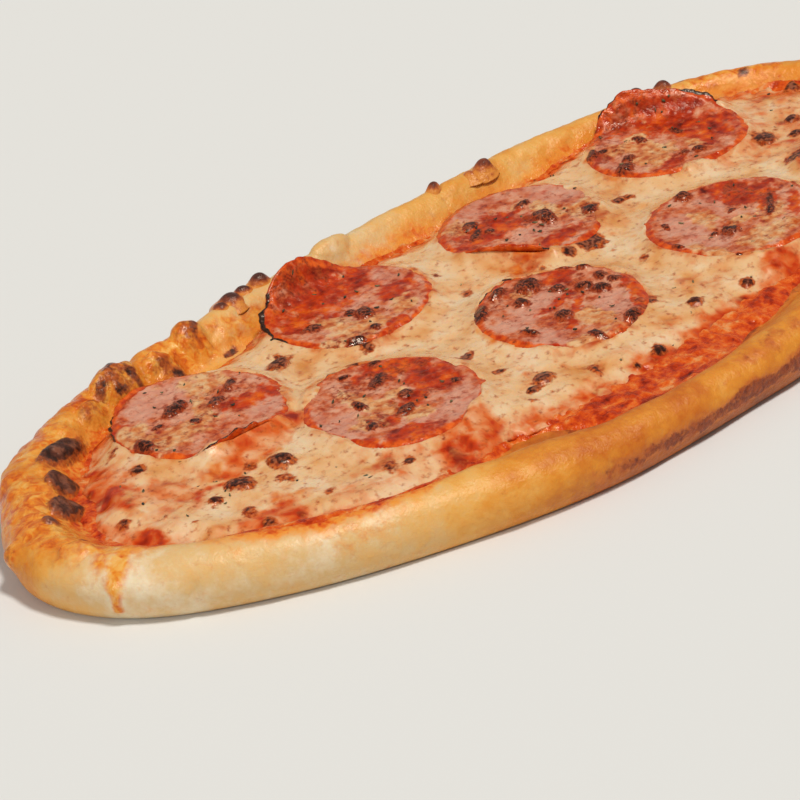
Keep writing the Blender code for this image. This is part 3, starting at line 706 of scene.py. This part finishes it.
def cheeseFinish():
    make = finishNodes("melted_cheese")
    thin, char = make.mask("thin"), make.mask("char")
    broad, middle, fine = make.noise(12, 2, 0.4, 0.4), make.noise(4.6, 2, 0.4, 0.3), make.noise(1.2, 2, 0.45)
    colour = make.ramp(
        make.blend((0.54, 1.0), (broad, 1.9), (middle, 0.6), (fine, 0.10)),
        (0.05, 208, 136, 70), (0.24, 218, 156, 96), (0.44, 223, 173, 120), (0.64, 226, 184, 136),
        (0.90, 228, 196, 156))
    stain = make.ramp(make.blend((0.5, 1.0), (middle, 1.6), (broad, 1.2)),
                      (0.2, 182, 60, 8), (0.48, 212, 108, 34), (0.80, 222, 146, 74))
    colour = make.cover(colour, stain, make.mask("oil"), make.noise(5.0, 2, 0.45, 0.7, 0.7), 1.8, 0.25, 1.25)
    blush = make.ramp(
        make.blend((0.56, 1.0), (middle, 1.4), (thin, -0.32), (broad, 1.5)),
        (0.0, 140, 26, 0), (0.20, 192, 56, 4), (0.40, 212, 96, 34), (0.60, 218, 130, 76),
        (0.82, 224, 162, 116))
    colour = make.cover(colour, blush, thin, make.noise(5.5, 3, 0.5, 0.5, 0.2), 2.0, 0.15, 1.0)
    brown = make.ramp(middle, (0.3, 178, 88, 34), (0.7, 206, 124, 62))
    colour = make.cover(colour, brown, make.mask("brown"), make.noise(3, 2, 0.5, 0.2, 0.5), 2.0, 0.80, 1.25)
    halo = make.ramp(fine, (0.4, 146, 50, 10), (0.6, 198, 98, 38))
    colour = make.cover(colour, halo, char, make.noise(2.2, 3, 0.55, 0, 0.9), 1.3, 0.02, 0.40)
    black = make.ramp(make.blend((fine, 1.0), (middle, 0.5)),
                      (0.36, 46, 16, 8), (0.5, 88, 36, 20), (0.62, 146, 80, 52))
    colour = make.cover(colour, black, char, make.noise(1.3, 3, 0.55), 1.3, 0.34, 0.70)
    return make.set(
        Base_Color=colour, Roughness=make.step(middle, 0.3, 0.7, 0.20, 0.38), Specular_IOR_Level=0.3,
        Specular_Tint=warm, Subsurface_Weight=0.25, Subsurface_Scale=1.6 * mm,
        Subsurface_Radius=(1.0, 0.45, 0.2), Normal=make.bump((fine, 0.06), (middle, 0.35)))


def makeCheese():
    points, top = layerPoints(cheeseLook, cheese, sauceTop, cheeseTop)
    x, y, z = points[..., 0], points[..., 1], points[..., 2]
    draw = random.Random(cheeseLook["seed"])
    # ranges of place, half sizes, turn, height and browning
    ranges = (-150, 160), (-60, 70), (1.2, 3.4), (1.0, 2.4), (0, 180), (0.2, 0.5), (0.35, 0.75)
    soft = tuple(tuple(draw.uniform(*ends) for ends in ranges) for _ in range(cheeseLook["softBlisters"]))
    raised, char = domes(x, y, cheeseLook["blisters"] + soft, 0)
    # the cheese creeps up against the slices where their edges lie down, and over them in places
    creep = smooth(crumble(points, 16, 145, 2, 0.35), 0.0, 0.7)
    uneven = 0.3 * waves(points, 6, 140)
    for row in slices:
        away, around = fromSlice(row, x, y)
        lift, drawnIn = sliceLift(row, around)
        away = away + drawnIn
        lip = np.minimum(sliceForm["clearance"] + sliceForm["cup"] + 0.75 + lift, 3.8)
        lip = lip + uneven + 0.9 * creep
        inside = smooth(away + 2.6 * creep, -2.6, -0.3)
        raised = np.maximum(raised, lip * np.exp(-np.maximum(away, 0) / 4.0) * inside)
    z += np.where(top, raised, 0)
    fat, uneven = np.zeros_like(x), 2.0 * waves(points, 6, 210)
    for row in slices:
        away = fromSlice(row, x, y)[0] + uneven
        fat = np.maximum(fat, np.exp(-np.maximum(away, 0) / 1.8))
    thin = 1.15 * spots(x, y, cheeseLook["thin"], 150, 0.4, 0.5)
    thin = np.maximum(thin, 0.9 * (1 - smooth(cheeseDepth(x, y) + 4 * crumble(points, 8, 155, 3), 0, 9)))
    thin = np.clip(thin + 0.22 * crumble(points, 14, 160, 3), 0, 1)
    oil = np.clip(spots(x, y, cheeseLook["oil"], 180, 0.4, 0.6) + 0.25 * crumble(points, 10, 190, 2), 0, 1)
    oil = np.maximum(oil, 0.95 * fat * (0.65 + 0.5 * waves(points, 14, 220)))
    brown = smooth(crumble(points, 9, 200, 3), 0.2, 0.7) * 0.45
    piece = ringPiece("cheese_melted", points, cheeseFinish(), {
        "thin": thin, "oil": oil, "char": char, "brown": brown})
    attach(piece, "root")
    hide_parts("cheese")


makeCheese()
print("flatbread: cheese made")

# What lies on each slice, measured from its centre: x, y, half sizes, turn if there is one.
# film is cheese over it, rust an orange-red patch, pink a smooth pale patch,
# blister has a height last, browned a toasted patch, burnt an arc of the edge: degrees from, to, width
sliceLook = {
    "around": 220, "topRows": 62, "lowRows": 9,
    "pepperoni_01": {
        "film": ((1.5, 0, 3, 9, -28), (-12, -5, 12, 5), (12, 12, 8, 6, 20), (-20, 4, 6, 8)),
        "rust": ((10.5, -5, 6, 4.5), (17, -8, 5, 4), (-22, 14, 4, 6, 30)),
        "pink": ((-1.5, 16, 13, 7), (14, -14, 7, 5)),
        "blister": (
            (-2.6, 7.6, 5.2, 2.7, 20, 1), (-21.9, -2.2, 2.6, 3.6, -15, 0.9), (7, 1, 3.6, 1.9, 25, 0.6),
            (15.6, 4.8, 3.3, 1.6, 30, 0.5), (-12, 4, 2.2, 1.2, 10, 0.3), (-4, -3, 1.4, 2, 0, 0.3),
        ),
        "browned": ((8, 0, 10, 5, 20), (-20, -2, 5, 8), (-2, 8, 8, 5, 20)),
        "burnt": ((-165, -75, 0.35), (120, 165, 0.5)),
    },
    "pepperoni_02": {
        "film": ((-10, -10, 5, 9, 10), (-4, -15, 6, 4), (10, -14, 4, 5, -30), (-20, -16, 6, 5)),
        "rust": ((0, 12, 22, 13), (14, -6, 8, 6, 30), (0, -21, 6, 2.5, 10), (-14, 4, 8, 5, 20)),
        "pink": ((-3, 0, 8, 4, 10), (18, 2, 4, 8)),
        "blister": (
            (-16, -2.4, 3.3, 2.2, 0, 0.7), (-0.9, -8.5, 2.8, 3.8, -20, 0.9),
            (-14.2, -19.6, 3.2, 2.6, 0, 0.8), (-2.5, -4.5, 2, 2, 0, 0.4), (-5, -17.5, 1.6, 1.8, 0, 0.4),
        ),
        "browned": ((-8, 19, 14, 5), (-14, -18, 8, 4), (-2, -7, 6, 5)),
        "burnt": ((112, 195, 1),),
    },
    "pepperoni_03": {
        "film": ((-5.6, 4, 3.6, 12, 6), (3, 2, 4, 3), (-13, -4, 6, 5, 30), (-1, -12, 4, 3)),
        "rust": ((11, 15, 10, 7, -10), (17, 8, 7, 3, 15), (15, 0, 8, 8), (-9, -9, 3, 3), (3, -4, 7, 4, 20),
                 (-22, -12, 4, 4), (-10, -18, 9, 5, -20)),
        "pink": ((-20, 2, 6, 12), (5, -19, 10, 5, 15), (12, -13, 7, 4, 30), (-6, -15, 6, 4)),
        "blister": (
            (-8, 5.3, 1.6, 3.2, -5, 0.6), (-14.4, -6.8, 2.6, 1.6, 40, 0.5), (-2.4, -7.6, 3.8, 2.2, 15, 0.9),
            (4.2, 0, 2.6, 2.2, 0, 0.6), (5, 12, 5, 2.2, 25, 0.4), (17.4, -6.6, 1.4, 1.8, 0, 0.4),
            (0.5, 21.4, 2, 1.2, 0, 0.4), (11, 20, 2.2, 1.4, 0, 0.4),
        ),
        "browned": ((4, 13, 16, 6, -10), (-12, -6, 7, 4), (2, -5, 8, 4, 15)),
        "burnt": ((80, 120, 0.6),),
    },
    "pepperoni_04": {
        "film": ((10, 0, 4, 7), (16, -10, 6, 6), (8, 9, 3, 2), (-14, 14, 5, 4)),
        "rust": ((-7, 5, 12, 9, 10), (-1, 7, 7, 4), (-23, -2, 5, 9, 30), (-2, -17, 9, 4, 10)),
        "pink": ((-1, 18.5, 11, 4.5), (17, 6, 5.5, 11, 10), (-3, -8, 7, 5)),
        "blister": (
            (6, -3, 3, 4.8, -10, 1), (8.4, 8.5, 2.8, 1.6, 10, 0.6), (-10.2, 11.6, 3.4, 2, 20, 0.6),
            (16, -12, 2.4, 2.8, -30, 0.8), (-13, 6, 4, 1.6, 30, 0.3), (-9, 4.5, 1.8, 1.2, 0, 0.4),
        ),
        "browned": ((5, -2, 8, 7), (-10, 10, 8, 5, 20), (14, -12, 5, 5)),
        "burnt": ((238, 250, 1.2),),
    },
    "pepperoni_05": {
        "film": ((0, -14, 5, 7), (-10, -21, 8, 3.5), (-2, 15, 3, 3)),
        "rust": ((11, 14, 6, 5), (-1, -6, 10, 1.8, 38), (1, 3, 8, 2, 10), (20, -8, 2.5, 8, -25),
                 (-25, 1, 2, 9, 5), (15, -15, 7, 2, 45)),
        "pink": ((-17, -12, 8, 8), (10.5, -12, 8, 7, 20), (0, 8, 12, 5), (-14, 4, 7, 4)),
        "blister": (
            (2.8, 17.3, 4.2, 4, 0, 1.3), (-16.8, 17, 5.2, 2.8, 45, 1), (-5.6, 21.2, 3.6, 2, 20, 0.9),
            (-5.2, 11.2, 2.6, 2.4, 0, 0.9), (6.6, 8.5, 2.4, 2.3, 0, 0.9), (18.5, 18.2, 3.6, 3.2, 30, 1.2),
            (20.3, 11.7, 2.5, 2.4, 0, 0.9), (12.2, 3.5, 2.6, 3, 20, 0.9), (13.6, -1.5, 2.6, 3.2, 0, 0.8),
            (19.2, 3.5, 2, 2.6, 0, 0.7), (19.5, -1.5, 2.2, 2.2, 0, 0.7), (-16.4, -3.7, 1.4, 3.2, 15, 0.6),
            (-3.6, -4.2, 2.6, 3, -25, 0.9), (6.3, -21.5, 3.8, 2.4, 40, 0.9), (-7, -21, 1.6, 3.4, 0, 0.6),
        ),
        "browned": ((0, 18, 16, 4), (17, 4, 6, 9), (10, -20, 7, 4, 40)),
        "burnt": ((40, 130, 0.7),),
    },
    "pepperoni_06": {
        "film": ((-8, -4, 8.5, 5), (-9, -8, 9, 2.2, 15), (-12, 6, 6, 4), (2, -10, 3, 4), (-5, 6, 3.5, 5)),
        "rust": ((8, 10, 16, 12, -30), (16, -7, 11, 9), (-12, -14, 8, 2.6, 12), (-15, 7, 8, 3)),
        "pink": ((-8, 15, 7, 4, 20), (-22, 2, 3, 6)),
        "blister": (
            (-20, 11.5, 3.6, 1.8, 45, 0.8), (-17.4, 10, 2.4, 1.4, -20, 0.5), (-21, -4, 4, 2.4, 20, 0.9),
            (-15.8, -0.2, 2.8, 1.8, 20, 0.7), (-4.9, 5.8, 1.6, 3, 0, 0.6), (-0.3, -14.5, 2.2, 2.2, 0, 0.8),
            (6, 1, 1.4, 2.8, 0, 0.3), (-4, -12, 1.8, 1.2, 0, 0.5),
        ),
        "browned": ((4, 19, 18, 4), (-18, 8, 8, 5, 30), (-3, -13, 5, 4)),
        "burnt": ((-10, 45, 1), (80, 105, 0.3)),
    },
    "pepperoni_07": {
        "film": ((-2, -16, 12, 6, 10), (-20, -10, 4, 7), (-6, 6, 4, 7, -20), (0, -3, 6, 2.5),
                 (8, -8, 7, 3, 30)),
        "rust": ((13, 16, 7, 7), (14, 7, 8, 6), (13, -1, 12, 3, 40), (16, -9, 8, 2, 45),
                 (-25, 4, 2, 12, -8)),
        "pink": ((3, 12, 4.5, 7, -30), (-12, 8, 8, 8), (-16, -4, 6, 8)),
        "blister": (
            (1, 21.5, 2.9, 2.5, 0, 1), (-23, 0.2, 1.2, 2, 0, 0.5), (-7, -5.4, 2.8, 2.6, 0, 0.9),
            (-11.2, -3, 1.2, 1.2, 0, 0.5), (-18.2, -19.5, 2.3, 2.5, 0, 0.9),
            (-15.4, 12.8, 1, 1.8, -20, 0.4), (2.5, 3.3, 1.7, 0.9, 10, 0.3), (8.5, -6.5, 3.6, 1.2, 40, 0.5),
            (13, -2, 5, 1.2, 42, 0.4),
        ),
        "browned": ((14, -2, 10, 6, 40), (14, 12, 7, 6), (-7, -5, 5, 5)),
        "burnt": ((150, 200, 0.5),),
    },
    "pepperoni_08": {
        "film": ((-8, -6, 6, 9, 20), (6, 12, 8, 4), (12, -8, 4, 6)),
        "rust": ((8, -4, 9, 9), (-12, 10, 7, 6, 30), (0, 18, 9, 3)),
        "pink": ((-14, -6, 8, 9), (6, 4, 7, 6)),
        "blister": (
            (4, 9, 3, 2.6, 0, 0.9), (-10, 4, 2.4, 3.2, 20, 0.8), (9, -10, 3.2, 2, 30, 0.8),
            (-4, -14, 2.2, 2, 0, 0.7), (-16, 12, 2, 1.6, 0, 0.5),
        ),
        "browned": ((6, 8, 8, 6), (-12, 4, 6, 6)),
        "burnt": ((-80, -30, 1.2), (60, 110, 0.7)),
    },
}


def pepperoniFinish():
    make = finishNodes("pepperoni")
    rust, char = make.mask("rust"), make.mask("char")
    coarse, middle, fine = make.noise(6.5, 2, 0.45, 0.2), make.noise(2.6, 2, 0.5), make.noise(0.7, 2, 0.5)
    colour = make.ramp(
        make.blend((0.62, 1.0), (middle, 1.2), (coarse, 1.5), (fine, 0.35)),
        (0.03, 120, 24, 2), (0.22, 172, 58, 16), (0.44, 196, 96, 52), (0.66, 209, 130, 95),
        (0.92, 217, 154, 122))
    mauve = make.ramp(make.blend((0.58, 1.0), (middle, 0.8), (fine, 0.2), (coarse, 1.1)),
                      (0.06, 170, 72, 42), (0.34, 200, 121, 94), (0.80, 213, 152, 125))
    colour = make.cover(colour, mauve, make.mask("pink"), coarse, 2.4, 0.1, 1.0)
    red = make.ramp(make.blend((0.56, 1.0), (middle, 1.0), (coarse, 1.5)),
                    (0.05, 84, 8, 0), (0.34, 150, 30, 0), (0.60, 190, 52, 0), (0.90, 218, 94, 10))
    colour = make.cover(colour, red, rust, make.noise(3.6, 3, 0.5, 0.3, 0.4), 2.4, 0.15, 0.9)
    # orange on the thin rim of the top is the slice's own colour; on the underside it is painted light,
    # bright orange standing in for light shining through curled edges that lie in shade
    orange = make.ramp(middle, (0.35, 180, 42, 0), (0.65, 228, 96, 18))
    colour = make.cover(colour, orange, make.mask("edge"), make.noise(2.6, 3, 0.6, 0.5, 0.1), 2.0, 0.2, 0.9)
    cream = make.ramp(make.blend((0.54, 1.0), (middle, 1.6), (coarse, 1.2)),
                      (0.1, 180, 76, 24), (0.42, 210, 132, 76), (0.8, 222, 176, 126))
    colour = make.cover(colour, cream, make.mask("film"), make.noise(3.4, 3, 0.5, 0.4, 0.6), 2.4, 0.25, 0.95)
    halo = make.ramp(fine, (0.35, 116, 28, 6), (0.65, 172, 66, 20))
    colour = make.cover(colour, halo, char, make.noise(2.0, 3, 0.55, 0, 0.9), 1.3, 0.02, 0.40)
    peppered = make.step(make.blend((make.noise(7, 3, 0.6, offset=0.5), 1.0), (char, 0.7)), 0.46, 0.60)
    freckles = make.sum("MULTIPLY", make.step(make.noise(1.1, 2, 0.5, 0.2, 0.8), 0.56, 0.64), peppered)
    colour = make.mix(make.sum("MULTIPLY", freckles, 0.8), colour, paint(92, 26, 8))
    black = make.ramp(make.blend((fine, 1.0), (middle, 0.6)),
                      (0.36, 38, 10, 4), (0.5, 84, 28, 12), (0.62, 142, 66, 38))
    colour = make.cover(colour, black, char, make.noise(1.2, 3, 0.55), 1.4, 0.32, 0.70)
    soot = make.ramp(fine, (0.35, 24, 12, 8), (0.65, 66, 34, 22))
    colour = make.cover(colour, soot, make.mask("burnt"), middle, 1.6, 0.45, 0.8)
    dull = make.blend((make.step(middle, 0.3, 0.7, 0.20, 0.36), 1.0), (rust, 0.14))
    return make.set(
        Base_Color=colour, Roughness=dull, Specular_IOR_Level=0.38, Specular_Tint=warm,
        Subsurface_Weight=0.08, Subsurface_Scale=1.2 * mm,
        Subsurface_Radius=(1.0, 0.35, 0.2), Normal=make.bump((fine, 0.12), (middle, 0.36)))


def sliceUnder(row, turn, share):  # a slice's underside, and where its points lie when it is flat
    reach = share * wavy(turn, row[1] * 0.37)
    flatU, flatV = reach * row[3] * np.cos(turn), reach * row[4] * np.sin(turn)
    u, v, lift = rolled(flatU, flatV, row[5])
    x, y = row[1] + u, row[2] + v
    z = bed(x, y) + sliceForm["clearance"] + lift + sliceForm["cup"] * share ** 4
    return np.stack([x, y, z], -1), flatU, flatV


def arcMask(turn, inward, arcs):  # 1 on burnt arcs of the edge
    burnt = np.zeros_like(turn)
    for start, end, width in arcs:
        middle, half = math.radians((start + end) / 2), math.radians((end - start) / 2)
        off = np.abs((turn - middle + math.pi) % (2 * math.pi) - math.pi)
        along = 1 - smooth(off / half, 0.55, 1.0)
        burnt = np.maximum(burnt, along * (1 - smooth(inward / width, 0.5, 1.4)))
    return burnt


def makeSlice(number, row, finish):
    look = sliceLook[row[0]]
    count = sliceLook["around"]
    ringTurn = np.arange(count) * 2 * math.pi / count
    share, turn = np.meshgrid(np.linspace(0, 1, sliceLook["topRows"] + 1)[1:], ringTurn, indexing="ij")
    low, u, v = sliceUnder(row, turn, share)
    up = -normals(low)
    up *= np.where(up[..., 2:].mean() < 0, -1.0, 1.0)
    p = flat(u + row[1], v + row[2])
    inward = (1 - share) * (row[3] + row[4]) / 2
    film = spots(u, v, look["film"], 300 + number * 20, 0.4, 0.5)
    rust = spots(u, v, look["rust"], 400 + number * 20, 0.45, 0.5)
    pink = spots(u, v, look["pink"], 500 + number * 20, 0.35, 0.5)
    raised, char = domes(u, v, look["blister"], 600)
    browned = spots(u, v, look["browned"], 550 + number * 20, 0.5, 0.6) * (0.7 + 0.6 * waves(p, 5, 560))
    char = np.maximum(char, 0.24 * browned)
    burnt = arcMask(turn, inward, look["burnt"])
    relief = 0.22 * crumble(p, 3.0, 240 + number, 3) + 0.30 * bubbles(p[..., 0], p[..., 1], 2.6, number, 0.5)
    relief += 0.35 * crumble(p, 9, 260 + number, 2) + 0.35 * film * (0.6 + 0.5 * waves(p, 5, 270))
    relief *= 1 - 0.8 * smooth(rolled(u, v, row[5])[2], 0.6, 4)  # rolled-up parts are smooth
    taper = smooth(inward, -0.6, 2.6)  # the slice thins out towards its edge
    thick = (sliceForm["thickness"] + relief + raised) * (0.25 + 0.75 * taper)
    ragged = (0.5 + 0.8 * burnt) * crumble(p, 3.0, 280 + number, 2) * smooth(share, 0.9, 1.0)
    outward = low[-1] - low[-4]
    outward = outward / np.linalg.norm(outward, axis=-1, keepdims=True)
    top = low + up * thick[..., None] + outward * ragged[..., None]

    lowShares = np.linspace(1, 0, sliceLook["lowRows"] + 1)[:-1]
    lowShare, lowTurn = np.meshgrid(lowShares, ringTurn, indexing="ij")
    under = sliceUnder(row, lowTurn, lowShare)[0]
    under[0] += outward * ragged[-1][..., None]
    grid = np.concatenate([top, under])
    points = np.concatenate([[top[0].mean(axis=0)], grid.reshape(-1, 3), [under[-1].mean(axis=0)]])
    index = 1 + np.arange(len(grid) * count).reshape(-1, count)
    turned = np.roll(index, -1, 1)
    faces = np.stack([index[:-1], index[1:], turned[1:], turned[:-1]], -1).reshape(-1, 4).tolist()
    for k in range(count):
        faces.append([0, int(index[0, k]), int(turned[0, k])])
        faces.append([len(points) - 1, int(turned[-1, k]), int(index[-1, k])])

    def whole(values, lowValues=0.0):  # a mask's values for the top, then for the underside
        lowPart = lowValues + np.zeros_like(lowTurn)
        return np.concatenate([[values[0, 0]], values.ravel(), lowPart.ravel(), [lowPart[-1, 0]]])

    # the orange rim mask: the thin rim on top, and the whole underside set to 1 as painted light, lighter
    # orange in place of light shining through the curled edges
    edge = smooth(share + 0.02 * waves(p, 7, 290), 0.87, 0.96)
    lowBurnt = 0.5 * arcMask(lowTurn, (1 - lowShare) * (row[3] + row[4]) / 2, look["burnt"])
    piece = makePiece(row[0] + "_slice", points, faces, finish, {
        "film": whole(film * (1 - smooth(share, 0.96, 1.0))), "rust": whole(rust), "pink": whole(pink),
        "char": whole(char), "edge": whole(edge, 1.0), "burnt": whole(burnt, lowBurnt)})
    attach(piece, "root")
    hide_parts(row[0])


pepperoni = pepperoniFinish()
for sliceNumber, sliceRow in enumerate(slices):
    makeSlice(sliceNumber, sliceRow, pepperoni)
print("flatbread: slices made")

# Burnt nubs: x, y, half width, height, lean to the right, seed, how burnt
nubs = {
    "rows": (
        (-52.5, 74, 2.8, 1.3, 0, 1, 1), (-48, 75.2, 3.8, 1.9, 0.3, 2, 1), (-42, 76.2, 3, 1.4, 0, 3, 1),
        (-35.7, 76.4, 3.2, 2.5, 0.4, 4, 1), (33.3, 75.4, 2.2, 2, 0.3, 5, 0.8),
        (50.8, 72.4, 3, 3.2, 0.8, 6, 0.75), (-67.9, 73.6, 2.4, 1.6, 0.2, 7, 0.8),
        (111, 67.6, 3.2, 2.2, 0.4, 8, 0.8), (119.6, 64.2, 3, 2.2, 0, 9, 0.9),
        (46.4, 73.2, 2.8, 0.8, 0, 10, 0.3), (-96, 68, 2.6, 1.2, 0, 11, 0.8),
    ),
    "around": 32, "up": 24, "sunk": 2.2,
}


def nubFinish():
    make = finishNodes("burnt_nub")
    middle, fine = make.noise(2.2, 3, 0.55), make.noise(0.8, 3, 0.6)
    colour = make.ramp(
        make.blend((make.mask("tip"), 1.0), (middle, 1.2), (fine, 0.5)),
        (0.0, 220, 140, 58), (0.25, 188, 98, 44), (0.55, 128, 60, 38), (0.95, 76, 38, 30))
    return make.set(
        Base_Color=colour, Roughness=0.3, Specular_IOR_Level=0.4, Specular_Tint=warm,
        Normal=make.bump((fine, 0.2), (middle, 0.5)))


def makeNubs():
    points, faces, tips = [], [], []
    around, up, sunk = nubs["around"], nubs["up"], nubs["sunk"]
    turn = np.arange(around) * 2 * math.pi / around
    for x, y, half, height, lean, seed, burnt in nubs["rows"]:
        index = len(points) + np.arange(up * around).reshape(up, around)
        turned = np.roll(index, -1, 1)
        faces += np.stack([index[:-1], turned[:-1], turned[1:], index[1:]], -1).reshape(-1, 4).tolist()
        faces += [index[0][::-1].tolist(), index[-1].tolist()]
        base = breadTop(np.array([x], float), np.array([y], float))[0] - sunk
        for slope in np.linspace(0, math.pi / 2, up):
            share, level = math.sin(slope), math.cos(slope)
            bulge = (level ** 0.8 + 0.02) * half * (1 + 0.7 * (1 - share) ** 2)
            ring = np.stack([x + lean * share ** 1.5 + bulge * np.cos(turn), y + bulge * 0.9 * np.sin(turn),
                             base + (height + sunk) * share + 0 * turn], -1)
            ring[:, :2] += 0.22 * half * waves(ring + 40 * seed, 2.0 * half, 300)[:, None] * level
            ring[:, 2] += 0.10 * height * waves(ring + 60 * seed, 1.5 * half, 301) * level
            points += ring.tolist()
            tips += [burnt * max(0.0, (height + sunk) * share - sunk) / height] * around
    piece = makePiece("burnt_nubs", np.array(points), faces, nubFinish(), {"tip": np.array(tips)})
    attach(piece, "root")


makeNubs()
print("flatbread: nubs made")

# Dried herbs: loose flakes on the cheese and on the slices
herbs = {
    "seed": 11, "onCheese": 75, "perSlice": 16, "length": (0.6, 1.7), "width": (0.35, 0.8), "thick": 0.25,
}


def sliceTopAt(row, turn, share):  # a place on a slice's top and the direction it faces
    around, out = np.array([[0, 0.05], [0, 0.05]]) + turn, np.array([[0, 0], [-0.02, -0.02]]) + share
    points = sliceUnder(row, around, out)[0]
    normal = np.cross(points[0, 0] - points[1, 0], points[0, 1] - points[0, 0])
    normal = normal / np.linalg.norm(normal)
    normal = normal if normal[2] > 0 else -normal
    return points[0, 0] + normal * (sliceForm["thickness"] + 0.15), normal


def flake(place, normal, draw):  # a crumpled strip: four stations along it, four corners each
    length, width = draw.uniform(*herbs["length"]), draw.uniform(*herbs["width"])
    forward = np.cross(normal, [math.cos(draw.uniform(0, 6.28)), math.sin(draw.uniform(0, 6.28)), 0.3])
    forward /= np.linalg.norm(forward)
    side = np.cross(normal, forward)
    bend, twist = draw.uniform(-0.3, 0.5), draw.uniform(-0.5, 0.5)
    points = []
    for share, part in ((-1.0, 0.25), (-0.35, 0.9), (0.35, 1.0), (1.0, 0.35)):
        centre = place + forward * share * length / 2 + normal * (0.12 + bend * share * share * 0.5)
        lean = (side * math.cos(twist * share) + normal * math.sin(twist * share)) * width * part / 2
        high = normal * herbs["thick"] / 2
        points += [centre - lean - high, centre + lean - high, centre + lean + high, centre - lean + high]
    faces = [(0, 1, 2, 3), (15, 14, 13, 12)]
    for a in (0, 4, 8):
        faces += [(a + i, a + 4 + i, a + 4 + (i + 1) % 4, a + (i + 1) % 4) for i in range(4)]
    return points, faces


def herbFinish():
    make = finishNodes("dried_herbs")
    colour = make.ramp(make.noise(2.5, 2, 0.5), (0.36, 40, 32, 20), (0.5, 72, 68, 38), (0.64, 122, 110, 70))
    return make.set(Base_Color=colour, Roughness=0.7, Normal=make.bump((make.noise(0.3, 2, 0.5), 0.08)))


def makeHerbs():
    draw = random.Random(herbs["seed"])
    landed, points, faces = [], [], []
    while len(landed) < herbs["onCheese"]:
        x, y = draw.uniform(-160, 160), draw.uniform(-70, 80)
        place = np.array([x]), np.array([y])
        turn, inset = edgeOf(*place)
        if inset[0] < stations(turn, cheese["edge"])[0] + 1 or sliceCover(*place)[0] > 0.4:
            continue
        height = cheeseTop(*place, cheeseDepth(*place))[0]
        landed.append((np.array([x, y, height]), np.array([0, 0, 1.0])))
    for row in slices:
        for _ in range(herbs["perSlice"]):
            landed.append(sliceTopAt(row, draw.uniform(0, 6.28), draw.uniform(0.08, 0.93)))
    for place, normal in landed:
        more, shape = flake(place, normal, draw)
        faces += [tuple(i + len(points) for i in face) for face in shape]
        points += more
    piece = makePiece("herb_flakes", np.array(points), faces, herbFinish())
    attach(piece, "root")


makeHerbs()
print("flatbread: herbs made")

# The photograph's viewpoint, on a pale floor under soft light
studio = {
    "eye": (-0.81433, -0.95416, 0.65498), "right": (0.72244, -0.676433, -0.143246),
    "up": (0.415064, 0.258575, 0.872273), "back": (-0.552994, -0.689621, 0.467568), "lens": 225,
    "world": 0.30,
    # where each light comes from, its strength, width in degrees and colour
    "lights": {
        "key_light": ((0.10, -0.34, 0.93), 2.12, 11, (1.0, 0.985, 0.955)),
        "fill_light": ((-0.82, -0.18, 0.54), 0.72, 9, (1.0, 0.985, 0.96)),
    },
}


def sunLight(name, toLight, strength, angle, tint):
    lamp = bpy.data.lights.new(name, "SUN")
    lamp.energy, lamp.angle, lamp.color = strength, math.radians(angle), tint
    holder = bpy.data.objects.new(name, lamp)
    holder.rotation_euler = (-Vector(toLight)).to_track_quat("-Z", "Y").to_euler()
    holder.location = Vector(toLight)
    bpy.context.scene.collection.objects.link(holder)


def makeStudio():
    lens = bpy.data.cameras.new("photo_view")
    lens.lens, lens.sensor_width, lens.clip_end = studio["lens"], 36, 20
    camera = bpy.data.objects.new("photo_view", lens)
    turned = Matrix([studio["right"], studio["up"], studio["back"]]).transposed().to_4x4()
    turned.translation = Vector(studio["eye"])
    camera.matrix_world = turned
    bpy.context.scene.collection.objects.link(camera)
    bpy.context.scene.camera = camera

    world = bpy.data.worlds.new("pale_room")
    world.use_nodes = True
    world.node_tree.nodes["Background"].inputs["Color"].default_value = (1.0, 0.985, 0.96, 1)
    world.node_tree.nodes["Background"].inputs["Strength"].default_value = studio["world"]
    bpy.context.scene.world = world
    for name, values in studio["lights"].items():
        sunLight(name, *values)

    bpy.ops.mesh.primitive_plane_add(size=12)
    floor = bpy.context.object
    floor.name = "pale_floor"
    make = finishNodes("pale_floor")
    floor.data.materials.append(make.set(Base_Color=paint(224, 223, 219), Roughness=0.8))
    bpy.context.scene.view_settings.view_transform = "Standard"


makeStudio()
print("flatbread: scene ready")
